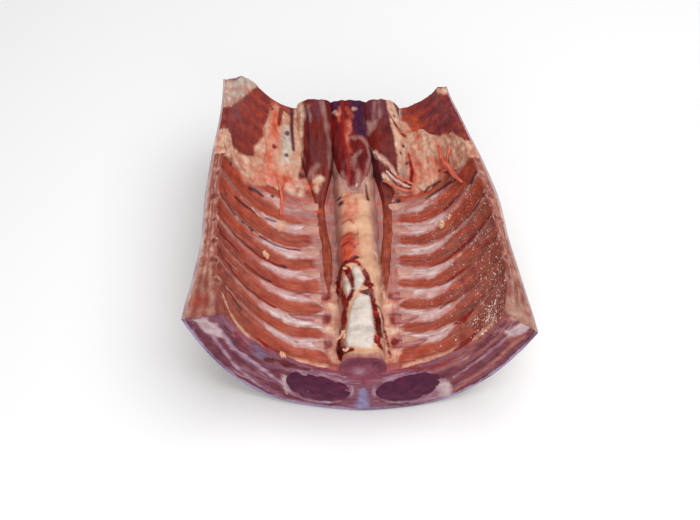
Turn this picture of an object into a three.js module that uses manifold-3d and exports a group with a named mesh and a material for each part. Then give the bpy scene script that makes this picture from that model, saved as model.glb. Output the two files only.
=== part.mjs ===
// A raw saddle of lamb lying on its back: the rib end and the first of the loin, both sides in one piece.
// Millimetres. X runs across the saddle, +Y from the cut at the rib end to the cut at the loin end, +Z up.
// The origin is the middle of the underside of the box round it, on the flat that the back rests on.
import * as THREE from "three";
import { mergeVertices } from "three/addons/utils/BufferGeometryUtils.js";
import Module from "manifold-3d";

// ---- Driving dimensions ----
const LENGTH = 300; // along the backbone, from cut to cut
const RIM_ANGLE = THREE.MathUtils.degToRad(80); // how far round its arc each side wall comes
const REST_FLAT = 24; // half the width of the flat under the back
const WALL_STEPS = { across: 20, lengthwise: 12 }; // faces of the wall's curved sheets
const MIDLINE_START = 4; // the backbone lies this far to the right at the rib end
const MIDLINE_BEND = -13; // and bends this far to the left by the loin end
const CUT_BACK = 30; // how far the flaps' corners stand back from the middle of the rib-end cut
const CUT_BACK_AT = 150; // at this distance from the middle
const CUT_BACK_BEND = 1.6; // 1 would be a straight line back from the middle
const CUT_BACK_FADE = 0.35; // and the share of the length over which that dies away
const FLANK_ACROSS = [55, 95]; // the flanks begin and are full at these distances from the middle
const FLANK_ALONG = [0.7, 1]; // and at these shares of the length

// Each row below holds values at seven even stations from the rib end to the loin end.
const SIDES = {
  left: {
    sign: -1,
    cavity: [115, 122, 124, 123, 119, 112, 107], // half width of the hollow at the rim
    skin: [156, 146, 139, 136, 130, 122, 119], // half width outside at the rim
    rim: [119, 121, 121, 121, 121, 121, 117], // height of the rim's inner edge
    skinRim: [94, 110, 116, 117, 118, 118, 116], // height of the rim's outer edge
    belly: [3.5, 3, 2.6, 2.3, 2.2, 2.2, 2.2], // how full the outer curve is: 2 is a parabola
    flankReach: 9, // how far the flank stands past the middle at the loin end
    firstRib: 19.5, // from the rib-end cut to the middle of the first rib
    ribPitch: 26.7, // and from each rib to the next
  },
  right: {
    sign: 1,
    cavity: [117, 122, 120, 115, 105, 94, 85],
    skin: [151, 139, 131, 126, 116, 104, 95],
    rim: [120, 121, 121, 119, 115, 109, 99],
    skinRim: [76, 102, 112, 115, 112, 107, 98],
    belly: [3, 2.8, 2.5, 2.3, 2.2, 2.2, 2.2],
    flankReach: 4,
    firstRib: 26,
    ribPitch: 25.6,
  },
};
const FLOOR = [60, 58, 57, 56, 57, 61, 66]; // height of the hollow's floor at the backbone

const GAP = 0.35; // clearance between pieces that touch
const PAST = 0.004; // share of the length by which a cutting tool runs past a cut
const AT_END = 1e-6; // a station this near 0 or 1 is at a cut
const FAT = [5, 4.5, 4, 3.5, 3, 2.5, 2.5]; // thickness of the outer fat

const RIBS = 8; // ribs on each side
const RIB_START = 0.205; // where a rib begins, as a share of the way from the backbone to the rim
// From its head by the backbone a rib first drops this far towards the rib end, between two such shares.
const RIB_DROP = { by: 6, across: [0.2, 0.4] };
const RIB_SLANT = { by: 22, across: [0.35, 0.95] }; // and then leans this far towards the loin end
const RIB = { width: 11, thickness: 6.4, proud: 1.3 }; // proud is how far it stands out of the lining

// The long muscle under the ribs: above the outer fat by one clearance, below the lining by the other.
const EYE = { offset: 39, halfWidth: 28, overFat: 7, underLining: 13 };

const BONE_RISE = [22, 22, 22, 22, 20, 16, 13]; // height of the backbone above the hollow's floor
const BONE = {
  pitch: 25.5, // from one vertebra to the next
  waist: 0.05, // and by what share each is wider in its middle and narrower at its ends
  halfWidth: 19,
  shoulder: { up: 0.45, top: 0.82, topWidth: 0.8, crownWidth: 0.4 }, // shares of the rise and half width
  foot: 11, // depth of the vertebrae's underside below the hollow's floor
  footWidth: 0.6, // half width there, as a share
  flare: 8, // height over which they widen from there
  neck: 6, // height over which they narrow below it to the spine
  spineHalfWidth: 3.5,
  spineTip: 12, // height of the spines' tips above the flat under the back
};

// The fillets: half widths and half depths of the thin strip and of the thick end.
const FILLET = { start: 0.27, narrow: 4.5, slim: 3, wide: 15.5, deep: 12, centre: 27, spread: 5.6 };
const FILLET_TAPER = [0.22, 0.39]; // it has grown to the strip's full size between these shares
const FILLET_SWELL = [0.6, 0.85]; // and to the thick end's between these
const FILLET_LIFT = { strip: 2, end: 7 }; // height of its middle above the hollow's floor

const PILLAR = { start: 0.64, halfWidth: 16, halfThickness: 7, sunk: 2 };
const PILLAR_TAPER = [0.56, 0.78];

const KIDNEY_FAT = {
  left: { across: 0.44, along: 0.82, halfAcross: 0.15, halfAlong: 0.15, bulge: 8 },
  right: { across: 0.5, along: 0.78, halfAcross: 0.2, halfAlong: 0.12, bulge: 8 },
};
const LUMPS = 0.1; // by what share the kidney fat is fuller and slimmer from place to place

// ---- The form: two curved sheets, the hollow's lining and the skin, and all that lies between ----
const { clamp, lerp, smoothstep } = THREE.MathUtils;

// A smooth curve through values at even stations, read at v from 0 to 1 (Catmull-Rom).
function along(values, v) {
  const last = values.length - 1;
  const s = clamp(v, 0, 1) * last;
  const i = Math.min(Math.floor(s), last - 1);
  const f = s - i;
  const [a, b, c, d] = [Math.max(i - 1, 0), i, i + 1, Math.min(i + 2, last)].map((k) => values[k]);
  return b + 0.5 * f * (c - a + f * (2 * a - 5 * b + 4 * c - d + f * (3 * (b - c) + d - a)));
}

const midline = (v) => MIDLINE_START + MIDLINE_BEND * clamp(v, 0, 1) ** 1.5;

// Places a point at the given distance from the midline, height and share of the length.
// The rib-end cut isn't square: its outer parts stand back.
function place(x, z, v) {
  const fade = 1 - clamp(v / CUT_BACK_FADE, 0, 1);
  const back = CUT_BACK * fade * (Math.abs(x) / CUT_BACK_AT) ** CUT_BACK_BEND;
  const flank = smoothstep(Math.abs(x), ...FLANK_ACROSS) * smoothstep(v, ...FLANK_ALONG);
  const reach = (x < 0 ? SIDES.left : SIDES.right).flankReach * flank;
  return new THREE.Vector3(midline(v) + x, LENGTH * (v - 0.5) + back + reach, z);
}

// Across the saddle, u runs from -1 at the left rim through 0 at the backbone to 1 at the right rim.
function lining(u, v) {
  const side = u < 0 ? SIDES.left : SIDES.right;
  const x = (along(side.cavity, v) * Math.sin(Math.abs(u) * RIM_ANGLE)) / Math.sin(RIM_ANGLE);
  return [side.sign * x, liningHeight(side, x, v)];
}

function liningHeight(side, x, v) {
  const angle = Math.asin(Math.min((x * Math.sin(RIM_ANGLE)) / along(side.cavity, v), 1));
  const climb = (1 - Math.cos(angle)) / (1 - Math.cos(RIM_ANGLE));
  return lerp(along(FLOOR, v), along(side.rim, v), climb);
}

function skinHeight(side, x, v) {
  const climb = Math.max(x - REST_FLAT, 0) / (along(side.skin, v) - REST_FLAT);
  return along(side.skinRim, v) * climb ** along(side.belly, v);
}

function skin(u, v) {
  const side = u < 0 ? SIDES.left : SIDES.right;
  const x = (along(side.skin, v) * Math.sin(Math.abs(u) * RIM_ANGLE)) / Math.sin(RIM_ANGLE);
  return [side.sign * x, skinHeight(side, x, v)];
}

// The point that lies depth below the lining, measured straight towards the skin.
function inWall(u, depth, v) {
  const [x0, z0] = lining(u, v);
  const [x1, z1] = skin(u, v);
  const share = depth / Math.hypot(x1 - x0, z1 - z0);
  return place(lerp(x0, x1, share), lerp(z0, z1, share), v);
}

function wallThickness(u, v) {
  const [x0, z0] = lining(u, v);
  const [x1, z1] = skin(u, v);
  return Math.hypot(x1 - x0, z1 - z0);
}

// ---- Solids ----
const wasm = await Module();
wasm.setup();

// Moves every vertex of a closed geometry by a map, and makes it a solid that faces outwards.
function shaped(geometry, map) {
  const position = geometry.getAttribute("position");
  for (let i = 0; i < position.count; i++) {
    const p = map(position.getX(i), position.getY(i), position.getZ(i));
    position.setXYZ(i, p.x, p.y, p.z);
  }
  geometry.deleteAttribute("normal");
  geometry.deleteAttribute("uv");
  const merged = mergeVertices(geometry, 1e-3);
  const [p, t] = [merged.getAttribute("position"), merged.index.array];
  const [a, b, c] = [new THREE.Vector3(), new THREE.Vector3(), new THREE.Vector3()];
  let volume = 0;
  for (let i = 0; i < t.length; i += 3) {
    [a, b, c].forEach((corner, k) => corner.fromBufferAttribute(p, t[i + k]));
    volume += a.dot(b.cross(c));
  }
  const triVerts = new Uint32Array(t);
  if (volume < 0)
    for (let i = 0; i < t.length; i += 3) [triVerts[i + 1], triVerts[i + 2]] = [t[i + 2], t[i + 1]];
  return new wasm.Manifold(new wasm.Mesh({ numProp: 3, vertProperties: p.array, triVerts }));
}

// The share of the length at a station of a solid or, grown, of its tool, whose ends run past the cuts.
const past = (v, grow) => (grow && (v < AT_END || v > 1 - AT_END) ? v + Math.sign(v - 0.5) * PAST : v);

// A block between two depths of the wall, from cut to cut and from rim to rim. Where two such layers
// lie on each other, both give that face as near, so that it is split into triangles alike.
function wallLayer(near, far) {
  const box = new THREE.BoxGeometry(2, 1, 1, WALL_STEPS.across, 1, WALL_STEPS.lengthwise);
  return shaped(box, (x, y, z) => {
    const v = 0.5 - z;
    return inWall(x, (y > 0 ? near : far)(x, v), v);
  });
}

// A rib follows the lining from beside the backbone to the rim, where its sawn end shows.
function ribLine(side, number, w) {
  const drop = RIB_DROP.by * (1 - smoothstep(w, ...RIB_DROP.across));
  const slant = RIB_SLANT.by * smoothstep(w, ...RIB_SLANT.across);
  return (side.firstRib + side.ribPitch * number + drop + slant) / LENGTH;
}

function rib(side, number, grow) {
  const bar = new THREE.CylinderGeometry(1, 1, 1, 6, 8);
  return shaped(bar, (x, y, z) => {
    const w = lerp(RIB_START, 1, past(y + 0.5, grow));
    const v = ribLine(side, number, w) + ((RIB.width / 2 + grow) * x) / LENGTH;
    const depth = RIB.thickness / 2 - RIB.proud + (RIB.thickness / 2 + grow) * z;
    return inWall(side.sign * w, depth, v);
  });
}

// The eye muscle: an oval, fuller away from the backbone, that runs from cut to cut.
function eye(side, grow) {
  const bar = new THREE.CylinderGeometry(1, 1, 1, 18, 7);
  return shaped(bar, (a, y, b) => {
    const v = past(y + 0.5, grow);
    const x = EYE.offset + EYE.halfWidth * a;
    const low = skinHeight(side, x, v) + along(FAT, v) + EYE.overFat;
    const high = liningHeight(side, x, v) - EYE.underLining;
    const z = (low + high + (high - low) * b) / 2;
    return place(side.sign * (x + grow * a), z + grow * b, v);
  });
}

// The backbone: vertebral bodies standing up into the hollow, and the row of spines below them.
function backbone(grow) {
  const { shoulder } = BONE;
  const [w, s] = [BONE.halfWidth + grow, BONE.spineHalfWidth + grow];
  const [foot, tip] = [-BONE.foot - grow, BONE.spineTip - FLOOR[0] - grow];
  const below = [[s, tip], [s, foot - BONE.neck], [w * BONE.footWidth, foot], [w, foot + BONE.flare]];
  const above = [[w, shoulder.up], [w * shoulder.topWidth, shoulder.top], [w * shoulder.crownWidth, 1]];
  const half = [...below, ...above];
  const outline = [...half, ...[...half].reverse().map(([x, y]) => [-x, y])];
  const shape = new THREE.Shape(outline.map(([x, y]) => new THREE.Vector2(x, y)));
  const bar = new THREE.ExtrudeGeometry(shape, { depth: 1, steps: 24, bevelEnabled: false });
  return shaped(bar, (x, y, z) => {
    const v = past(z, grow);
    const waist = 1 + BONE.waist * Math.cos((2 * Math.PI * v * LENGTH) / BONE.pitch);
    const height = y > 0 ? (along(BONE_RISE, v) + grow) * y * waist : y;
    return place(x * waist, along(FLOOR, v) + height, v);
  });
}

// The fillet: a thin strip in the gutter beside the ribs that swells to a thick muscle at the loin end.
function fillet(side, grow) {
  const bar = new THREE.CylinderGeometry(1, 1, 1, 10, 12);
  return shaped(bar, (a, y, b) => {
    const v = lerp(FILLET.start, 1, past(y + 0.5, grow));
    const swell = smoothstep(v, ...FILLET_SWELL);
    const taper = smoothstep(v, ...FILLET_TAPER);
    const halfWidth = lerp(FILLET.narrow * taper, FILLET.wide, swell) + grow;
    const halfDepth = lerp(FILLET.slim * taper, FILLET.deep, swell) + grow;
    const centre = FILLET.centre + FILLET.spread * swell;
    const height = along(FLOOR, v) + lerp(FILLET_LIFT.strip, FILLET_LIFT.end, swell);
    return place(side.sign * (centre + halfWidth * a), height + halfDepth * b, v);
  });
}

// The pillar of the diaphragm: dark muscle that lies on the backbone at the loin end.
function pillar() {
  const bar = new THREE.CylinderGeometry(1, 1, 1, 12, 8);
  return shaped(bar, (a, y, b) => {
    const v = lerp(PILLAR.start, 1, y + 0.5);
    const taper = smoothstep(v, ...PILLAR_TAPER);
    const z = along(FLOOR, v) + along(BONE_RISE, v) - PILLAR.sunk + PILLAR.halfThickness * b * taper;
    return place(PILLAR.halfWidth * taper * a, z, v);
  });
}

// The kidney fat: a pad that lies on the lining and is sunk into it, with a lumpy face.
function fatPad(name, grow) {
  const pad = KIDNEY_FAT[name];
  const side = SIDES[name];
  const ball = new THREE.SphereGeometry(1, 16, 8);
  return shaped(ball, (x, y, z) => {
    const lump = 1 + LUMPS * Math.sin(4 * x + 2 * z) * Math.cos(3 * z - 2 * x);
    const across = pad.across + (pad.halfAcross * lump + grow / along(side.skin, 1)) * x;
    const v = pad.along - (pad.halfAlong * lump + grow / LENGTH) * z;
    return inWall(side.sign * across, -(pad.bulge * lump + grow) * y, v);
  });
}

// ---- The pieces ----
// Where two pieces meet, the first in this list is whole and the next is cut round it:
// backbone, ribs, fillets, kidney fat and pillar, meat.
const cut = (solid, tools) => solid.subtract(wasm.Manifold.union(tools));
const ribNumbers = [...Array(RIBS).keys()];
const boneTool = backbone(GAP);
const filletTools = Object.values(SIDES).map((side) => fillet(side, GAP));
const meatTools = [boneTool, ...filletTools];
const solids = new Map();
solids.set("backbone", backbone(0));
solids.set("pillar", cut(pillar(), meatTools));
for (const [name, side] of Object.entries(SIDES)) {
  const ribTools = ribNumbers.map((number) => rib(side, number, GAP));
  for (const number of ribNumbers) solids.set(`rib_${name}_${number + 1}`, rib(side, number, 0));
  solids.set(`loin_eye_${name}`, eye(side, 0));
  solids.set(`fillet_${name}`, cut(fillet(side, 0), [boneTool, ...ribTools]));
  solids.set(`kidney_fat_${name}`, cut(fatPad(name, 0), [...filletTools, ...ribTools]));
  meatTools.push(...ribTools, eye(side, GAP), fatPad(name, GAP));
}
const fatTop = (u, v) => wallThickness(u, v) - along(FAT, v);
const meatBottom = (u, v) => fatTop(u, v) - GAP;
solids.set("meat", cut(wallLayer(meatBottom, () => 0), meatTools));
solids.set("fat_cap", wallLayer(fatTop, wallThickness));

// ---- Colours ----
const COLOURS = {
  meat: 0xa8543c,
  fat_cap: 0xd9cfc8,
  backbone: 0xd9b698,
  rib: 0xc9aaa6,
  loin_eye: 0x663046,
  fillet: 0x7f3426,
  pillar: 0x551828,
  kidney_fat: 0xd8b196,
};

const saddle = new THREE.Group();
for (const [name, solid] of solids) {
  const { numProp, vertProperties, triVerts } = solid.getMesh();
  const corners = Array.from(triVerts, (i) => vertProperties.subarray(i * numProp, i * numProp + 3));
  const geometry = new THREE.BufferGeometry();
  geometry.setAttribute("position", new THREE.Float32BufferAttribute(corners.flatMap((c) => [...c]), 3));
  geometry.computeVertexNormals();
  const kind = Object.keys(COLOURS).find((key) => name.startsWith(key));
  const material = new THREE.MeshStandardMaterial({ color: COLOURS[kind], roughness: 0.4, metalness: 0 });
  const mesh = new THREE.Mesh(geometry, material);
  mesh.name = name;
  saddle.add(mesh);
}

// The origin goes to the middle of the box's underside.
const box = new THREE.Box3().setFromObject(saddle);
const middle = box.getCenter(new THREE.Vector3());
saddle.position.set(-middle.x, -middle.y, -box.min.z);

export default saddle;
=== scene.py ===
import math

import bpy
import numpy as np
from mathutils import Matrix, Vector


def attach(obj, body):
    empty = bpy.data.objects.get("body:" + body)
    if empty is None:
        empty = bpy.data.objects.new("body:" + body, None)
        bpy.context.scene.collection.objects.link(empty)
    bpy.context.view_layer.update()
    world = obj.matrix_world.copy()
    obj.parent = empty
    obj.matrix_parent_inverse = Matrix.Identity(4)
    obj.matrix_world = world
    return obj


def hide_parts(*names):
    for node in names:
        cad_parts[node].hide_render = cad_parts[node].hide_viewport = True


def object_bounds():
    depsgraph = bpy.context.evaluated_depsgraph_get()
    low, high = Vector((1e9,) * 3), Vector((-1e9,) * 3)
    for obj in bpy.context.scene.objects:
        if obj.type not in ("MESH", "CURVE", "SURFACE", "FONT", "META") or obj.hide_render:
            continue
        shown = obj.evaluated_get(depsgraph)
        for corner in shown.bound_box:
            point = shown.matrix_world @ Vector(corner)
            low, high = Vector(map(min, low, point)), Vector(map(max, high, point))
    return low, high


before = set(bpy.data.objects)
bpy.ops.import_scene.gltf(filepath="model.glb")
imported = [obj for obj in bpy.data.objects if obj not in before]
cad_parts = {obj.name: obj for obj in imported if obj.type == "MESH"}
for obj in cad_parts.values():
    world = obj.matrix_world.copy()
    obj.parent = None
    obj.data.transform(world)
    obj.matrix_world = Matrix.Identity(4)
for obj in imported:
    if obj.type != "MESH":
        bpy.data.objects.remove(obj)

# A raw saddle of lamb lying on its back, seen from above the rib end.
# Lengths are millimetres until a mesh is written. Across the saddle, u runs from -1 at the left rim
# through 0 at the backbone to 1 at the right rim. Along it, v runs from 0 at the rib-end cut to 1 at
# the loin-end cut. Depth is measured from the hollow's lining straight towards the skin.
MM = 0.001
cad_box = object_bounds()

# ---- The saddle's form: a row of numbers is read at even stations from v = 0 to 1 ----
LENGTH = 300.0
RIM_ANGLE = math.radians(80)
REST_FLAT = 24.0
MIDLINE_START, MIDLINE_BEND, MIDLINE_POWER = 4.0, -13.0, 1.5
CUT_BACK, CUT_BACK_AT, CUT_BACK_BEND, CUT_BACK_FADE = 30.0, 150.0, 1.6, 0.35
FLANK_ACROSS, FLANK_ALONG = (55.0, 95.0), (0.7, 1.0)
LEFT = {
    "cavity": [115, 122, 124, 123, 119, 112, 107],
    "skin": [156, 146, 139, 136, 130, 122, 119],
    "rim": [119, 121, 121, 121, 121, 121, 117],
    "skin_rim": [94, 110, 116, 117, 118, 118, 116],
    "belly": [3.5, 3, 2.6, 2.3, 2.2, 2.2, 2.2],
    "flank_reach": [9],
    "first_rib": [19.5],
    "rib_pitch": [26.7],
}
RIGHT = {
    "cavity": [117, 122, 120, 115, 105, 94, 85],
    "skin": [151, 139, 131, 126, 116, 104, 95],
    "rim": [120, 121, 121, 119, 115, 109, 99],
    "skin_rim": [76, 102, 112, 115, 112, 107, 98],
    "belly": [3, 2.8, 2.5, 2.3, 2.2, 2.2, 2.2],
    "flank_reach": [4],
    "first_rib": [26],
    "rib_pitch": [25.6],
}
SIDES = {"left": (-1, LEFT), "right": (1, RIGHT)}
FLOOR = [60, 58, 57, 56, 57, 61, 66]
FAT = [5, 4.5, 4, 3.5, 3, 2.5, 2.5]
RIBS = 8
RIB_START, RIB_END, RIB_END_STEP = 0.205, 0.994, 0.004  # the ends stay just under the membrane on the rims
RIB_WIDTH, RIB_THICKNESS, RIB_PROUD = 11.0, 6.4, 1.3
RIB_ROOT_LEAN, RIB_RIM_LEAN = 6.0, 22.0
BONE_RISE = [22, 22, 22, 22, 20, 16, 13]
BONE_HALF_WIDTH, BONE_PITCH = 19.0, 25.5
ARC_MM, SKIN_ARC_MM = 155.0, 190.0  # arcs of the lining and of the skin from the backbone to a rim, about
ORIGIN = np.array([cad_box[0][0], cad_box[0][1]]) / MM - (MIDLINE_START - LEFT["skin"][0], -LENGTH / 2)


def along(values, v):
    """A smooth curve through values at even stations, read at v: a Catmull-Rom cubic."""
    values = np.asarray(values, float)
    last = len(values) - 1
    s = np.clip(v, 0, 1) * last
    i = np.minimum(s.astype(int), max(last - 1, 0))
    f = s - i
    a, b, c, d = (values[np.clip(i + k, 0, last)] for k in (-1, 0, 1, 2))
    return b + 0.5 * f * (c - a + f * (2 * a - 5 * b + 4 * c - d + f * (3 * (b - c) + d - a)))


def sided(name, u, v):
    """The value of a side's row at v, from the left row where u is negative and else the right."""
    return np.where(u < 0, along(LEFT[name], v), along(RIGHT[name], v))


def smooth(x, low, high):
    """0 below low, 1 above high, and 3t^2 - 2t^3 of the share t between."""
    t = np.clip((x - low) / (high - low), 0, 1)
    return t * t * (3 - 2 * t)


def midline(v):
    """Distance of the backbone to the right of the frame's middle."""
    return MIDLINE_START + MIDLINE_BEND * np.clip(v, 0, 1) ** MIDLINE_POWER


def place(x, z, v):
    """The point x beside the midline at height z. Its y is LENGTH (v - 1/2), plus the flaps' cut back at the
    rib end, a power of |x| that fades along, plus the flanks' reach at the loin end."""
    fade = 1 - np.clip(v / CUT_BACK_FADE, 0, 1)
    back = CUT_BACK * fade * (np.abs(x) / CUT_BACK_AT) ** CUT_BACK_BEND
    reach = sided("flank_reach", x, v) * smooth(np.abs(x), *FLANK_ACROSS) * smooth(v, *FLANK_ALONG)
    return np.stack([midline(v) + x, LENGTH * (v - 0.5) + back + reach, z + 0 * x], -1)


def beside(points, v):
    """Distance of placed points to the right of the midline."""
    return points[:, 0] - midline(v)


def lining(u, v):
    """The hollow's lining: x is a sine of u's angle and z a cosine, scaled to the rim."""
    angle = np.abs(u) * RIM_ANGLE
    x = np.sign(u) * sided("cavity", u, v) * np.sin(angle) / math.sin(RIM_ANGLE)
    climb = (1 - np.cos(angle)) / (1 - math.cos(RIM_ANGLE))
    floor = along(FLOOR, v)
    return x, floor + (sided("rim", u, v) - floor) * climb


def skin_height(x, v):
    """Height of the skin x beside the midline: a power of the share of the way from the flat to the rim."""
    climb = np.maximum(np.abs(x) - REST_FLAT, 0) / (sided("skin", x, v) - REST_FLAT)
    return sided("skin_rim", x, v) * climb ** sided("belly", x, v)


def skin(u, v):
    """The skin: x as the lining's, z its height there."""
    x = np.sign(u) * sided("skin", u, v) * np.sin(np.abs(u) * RIM_ANGLE) / math.sin(RIM_ANGLE)
    return x, skin_height(x, v)


def wall_thickness(u, v):
    """Straight distance from the lining to the skin."""
    (x0, z0), (x1, z1) = lining(u, v), skin(u, v)
    return np.hypot(x1 - x0, z1 - z0)


def in_wall(u, depth, v):
    """(x, z) of the point depth below the lining on the straight line to the skin."""
    (x0, z0), (x1, z1) = lining(u, v), skin(u, v)
    share = depth / np.hypot(x1 - x0, z1 - z0)
    return x0 + (x1 - x0) * share, z0 + (z1 - z0) * share


def across_of(x, v):
    """The u at which the lining stands x beside the midline: the arcsine that undoes its sine."""
    reach = np.clip(np.abs(x) * math.sin(RIM_ANGLE) / sided("cavity", x, v), 0, 1)
    return np.sign(x) * np.arcsin(reach) / RIM_ANGLE


def rib_line(w):
    """How far a rib's middle lies towards the loin end at share w of its way from the backbone."""
    return RIB_ROOT_LEAN * (1 - smooth(w, 0.2, 0.4)) + RIB_RIM_LEAN * smooth(w, 0.35, 0.95)


def nearest_rib(u, v):
    """Distance along the saddle from the nearest rib's middle, and that rib's number."""
    s = v * LENGTH - sided("first_rib", u, v) - rib_line(np.abs(u))
    pitch = sided("rib_pitch", u, v)
    number = np.clip(np.round(s / pitch), 0, RIBS - 1)
    return s - number * pitch, number.astype(int)


def quirk(number, side, pace=2.4):
    """How much one rib differs from the others, from -1 to 1: a sine of its number."""
    return np.sin(number * pace + np.sign(side))


# ---- Uneven patterns, strokes and patches: fields in mm, above zero inside ----
OUTSIDE = -50.0  # a field's value far from what it draws


def waves(p, size, seed, count=14):
    """A seeded sum of plane waves of lengths about size over the columns of p, about -1 to 1."""
    draw = np.random.default_rng(seed)
    total = 0
    for _ in range(count):
        heading = draw.normal(size=len(p))
        heading *= draw.uniform(0.6, 1.6) / np.linalg.norm(heading)
        phase = sum(h * q for h, q in zip(heading, p))
        total = total + np.sin(2 * math.pi * phase / size + draw.uniform(0, 2 * math.pi))
    return total / math.sqrt(count)


def flat(u, v):
    """The lining rolled out flat: mm across and mm along."""
    return u * ARC_MM, v * LENGTH


def as_drawn(x, z):
    """A cut face's own mm, as they are."""
    return x, z


def from_segment(p, start, end):
    """The share of the way along a segment at which points p are nearest to it, and how far they are."""
    step = np.array(end) - start
    t = np.clip(((p - start) @ step) / (step @ step), 0, 1)
    return t, np.hypot(p[..., 0] - start[0] - t * step[0], p[..., 1] - start[1] - t * step[1])


def stroke(u, v, points, to_mm=flat):
    """Half the width less the distance to a line through (u, v, width) points."""
    p = np.stack(to_mm(u, v), -1)
    field = np.full(np.shape(u), OUTSIDE)
    for (a, b, width), (c, d, next_width) in zip(points, points[1:]):
        t, distance = from_segment(p, to_mm(a, b), to_mm(c, d))
        field = np.maximum(field, (width + (next_width - width) * t) / 2 - distance)
    return field


def patch(u, v, corners, to_mm=flat):
    """Signed distance to a polygon through (u, v) corners, above zero inside."""
    p = np.stack(to_mm(u, v), -1)
    ring = [to_mm(a, b) for a, b in corners]
    near = np.full(np.shape(u), 1e9)
    inside = np.zeros(np.shape(u), bool)
    for (ax, ay), (bx, by) in zip(ring, ring[1:] + ring[:1]):
        near = np.minimum(near, from_segment(p, (ax, ay), (bx, by))[1])
        crosses = (ay > p[..., 1]) != (by > p[..., 1])
        side = ax + (p[..., 1] - ay) * (bx - ax) / (by - ay if by != ay else 1e-9)
        inside ^= crosses & (p[..., 0] < side)
    return np.where(inside, near, -near)


def spots(u, v, places):
    """The fullest of round spots at (u, v, width)."""
    x, y = flat(u, v)
    fields = [w / 2 - np.hypot(x - a * ARC_MM, y - b * LENGTH) for a, b, w in places]
    return np.maximum.reduce(fields)


def most(*fields):
    """The greatest of several fields, point by point."""
    return np.maximum.reduce(fields)


def patches(u, v, shapes):
    """The fullest of several patches."""
    return most(*(patch(u, v, shape) for shape in shapes))


def painted(table, u, v, to_mm, slow, fine=0):
    """The fields of a table, by name. A row holds patches, strokes, round spots, the shares of two uneven
    patterns that are added to them, and how many mm they grow."""
    fields = {}
    for name, (shapes, lines, places, slow_share, fine_share, grown) in table.items():
        parts = [patch(u, v, shape, to_mm) for shape in shapes]
        parts += [stroke(u, v, line, to_mm) for line in lines]
        if places:
            parts.append(spots(u, v, places))
        fields[name] = most(*parts) + grown + slow_share * slow + fine_share * fine
    return fields


# ---- What the inside shows, place by place ----
# Each list is of strokes, as (u, v, width) points, or of patches, as (u, v) corners.
FLANK = [
    [(-1.2, 0.78), (-1.2, 0.85), (-0.985, 0.853), (-0.87, 0.905), (-0.75, 0.948), (-0.6, 1.03), (-0.54, 1.03),
     (-0.54, 0.955), (-0.56, 0.9), (-0.597, 0.857), (-0.583, 0.83), (-0.62, 0.803), (-0.655, 0.773),
     (-0.64, 0.747), (-0.7, 0.727), (-0.8, 0.723), (-0.89, 0.725), (-0.93, 0.755)],
    [(0.46, 1.03), (0.54, 0.948), (0.6, 0.85), (0.65, 0.835), (0.913, 0.79), (1.0, 0.74), (1.2, 0.72),
     (1.2, 1.03)],
]
RUST = [
    [(0.37, 1.03), (0.47, 0.93), (0.5, 0.88), (0.45, 0.8), (0.5, 0.78), (0.56, 0.8), (0.61, 0.84),
     (0.58, 0.93), (0.55, 1.03)],
    [(-0.46, 1.0), (-0.41, 0.99), (-0.42, 0.9), (-0.47, 0.885), (-0.475, 0.93)],
    [(0.75, 0.65), (0.87, 0.655), (1.2, 0.64), (1.2, 0.61), (0.9, 0.615)],
    [(-1.2, 0.64), (-0.93, 0.65), (-0.8, 0.65), (-0.68, 0.617), (-0.8, 0.6), (-0.95, 0.61), (-1.2, 0.61)],
    [(-0.28, 0.71), (-0.15, 0.72), (-0.13, 0.67), (-0.2, 0.64), (-0.27, 0.66)],
]
BRUISE = [
    [(-1.0, 0.8), (-0.9, 0.8), (-0.86, 0.84), (-0.92, 0.87), (-1.0, 0.85)],
    [(0.62, 0.86), (0.8, 0.83), (1.2, 0.8), (1.2, 0.9), (0.92, 0.93), (0.8, 0.97), (0.68, 0.96)],
]
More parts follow.
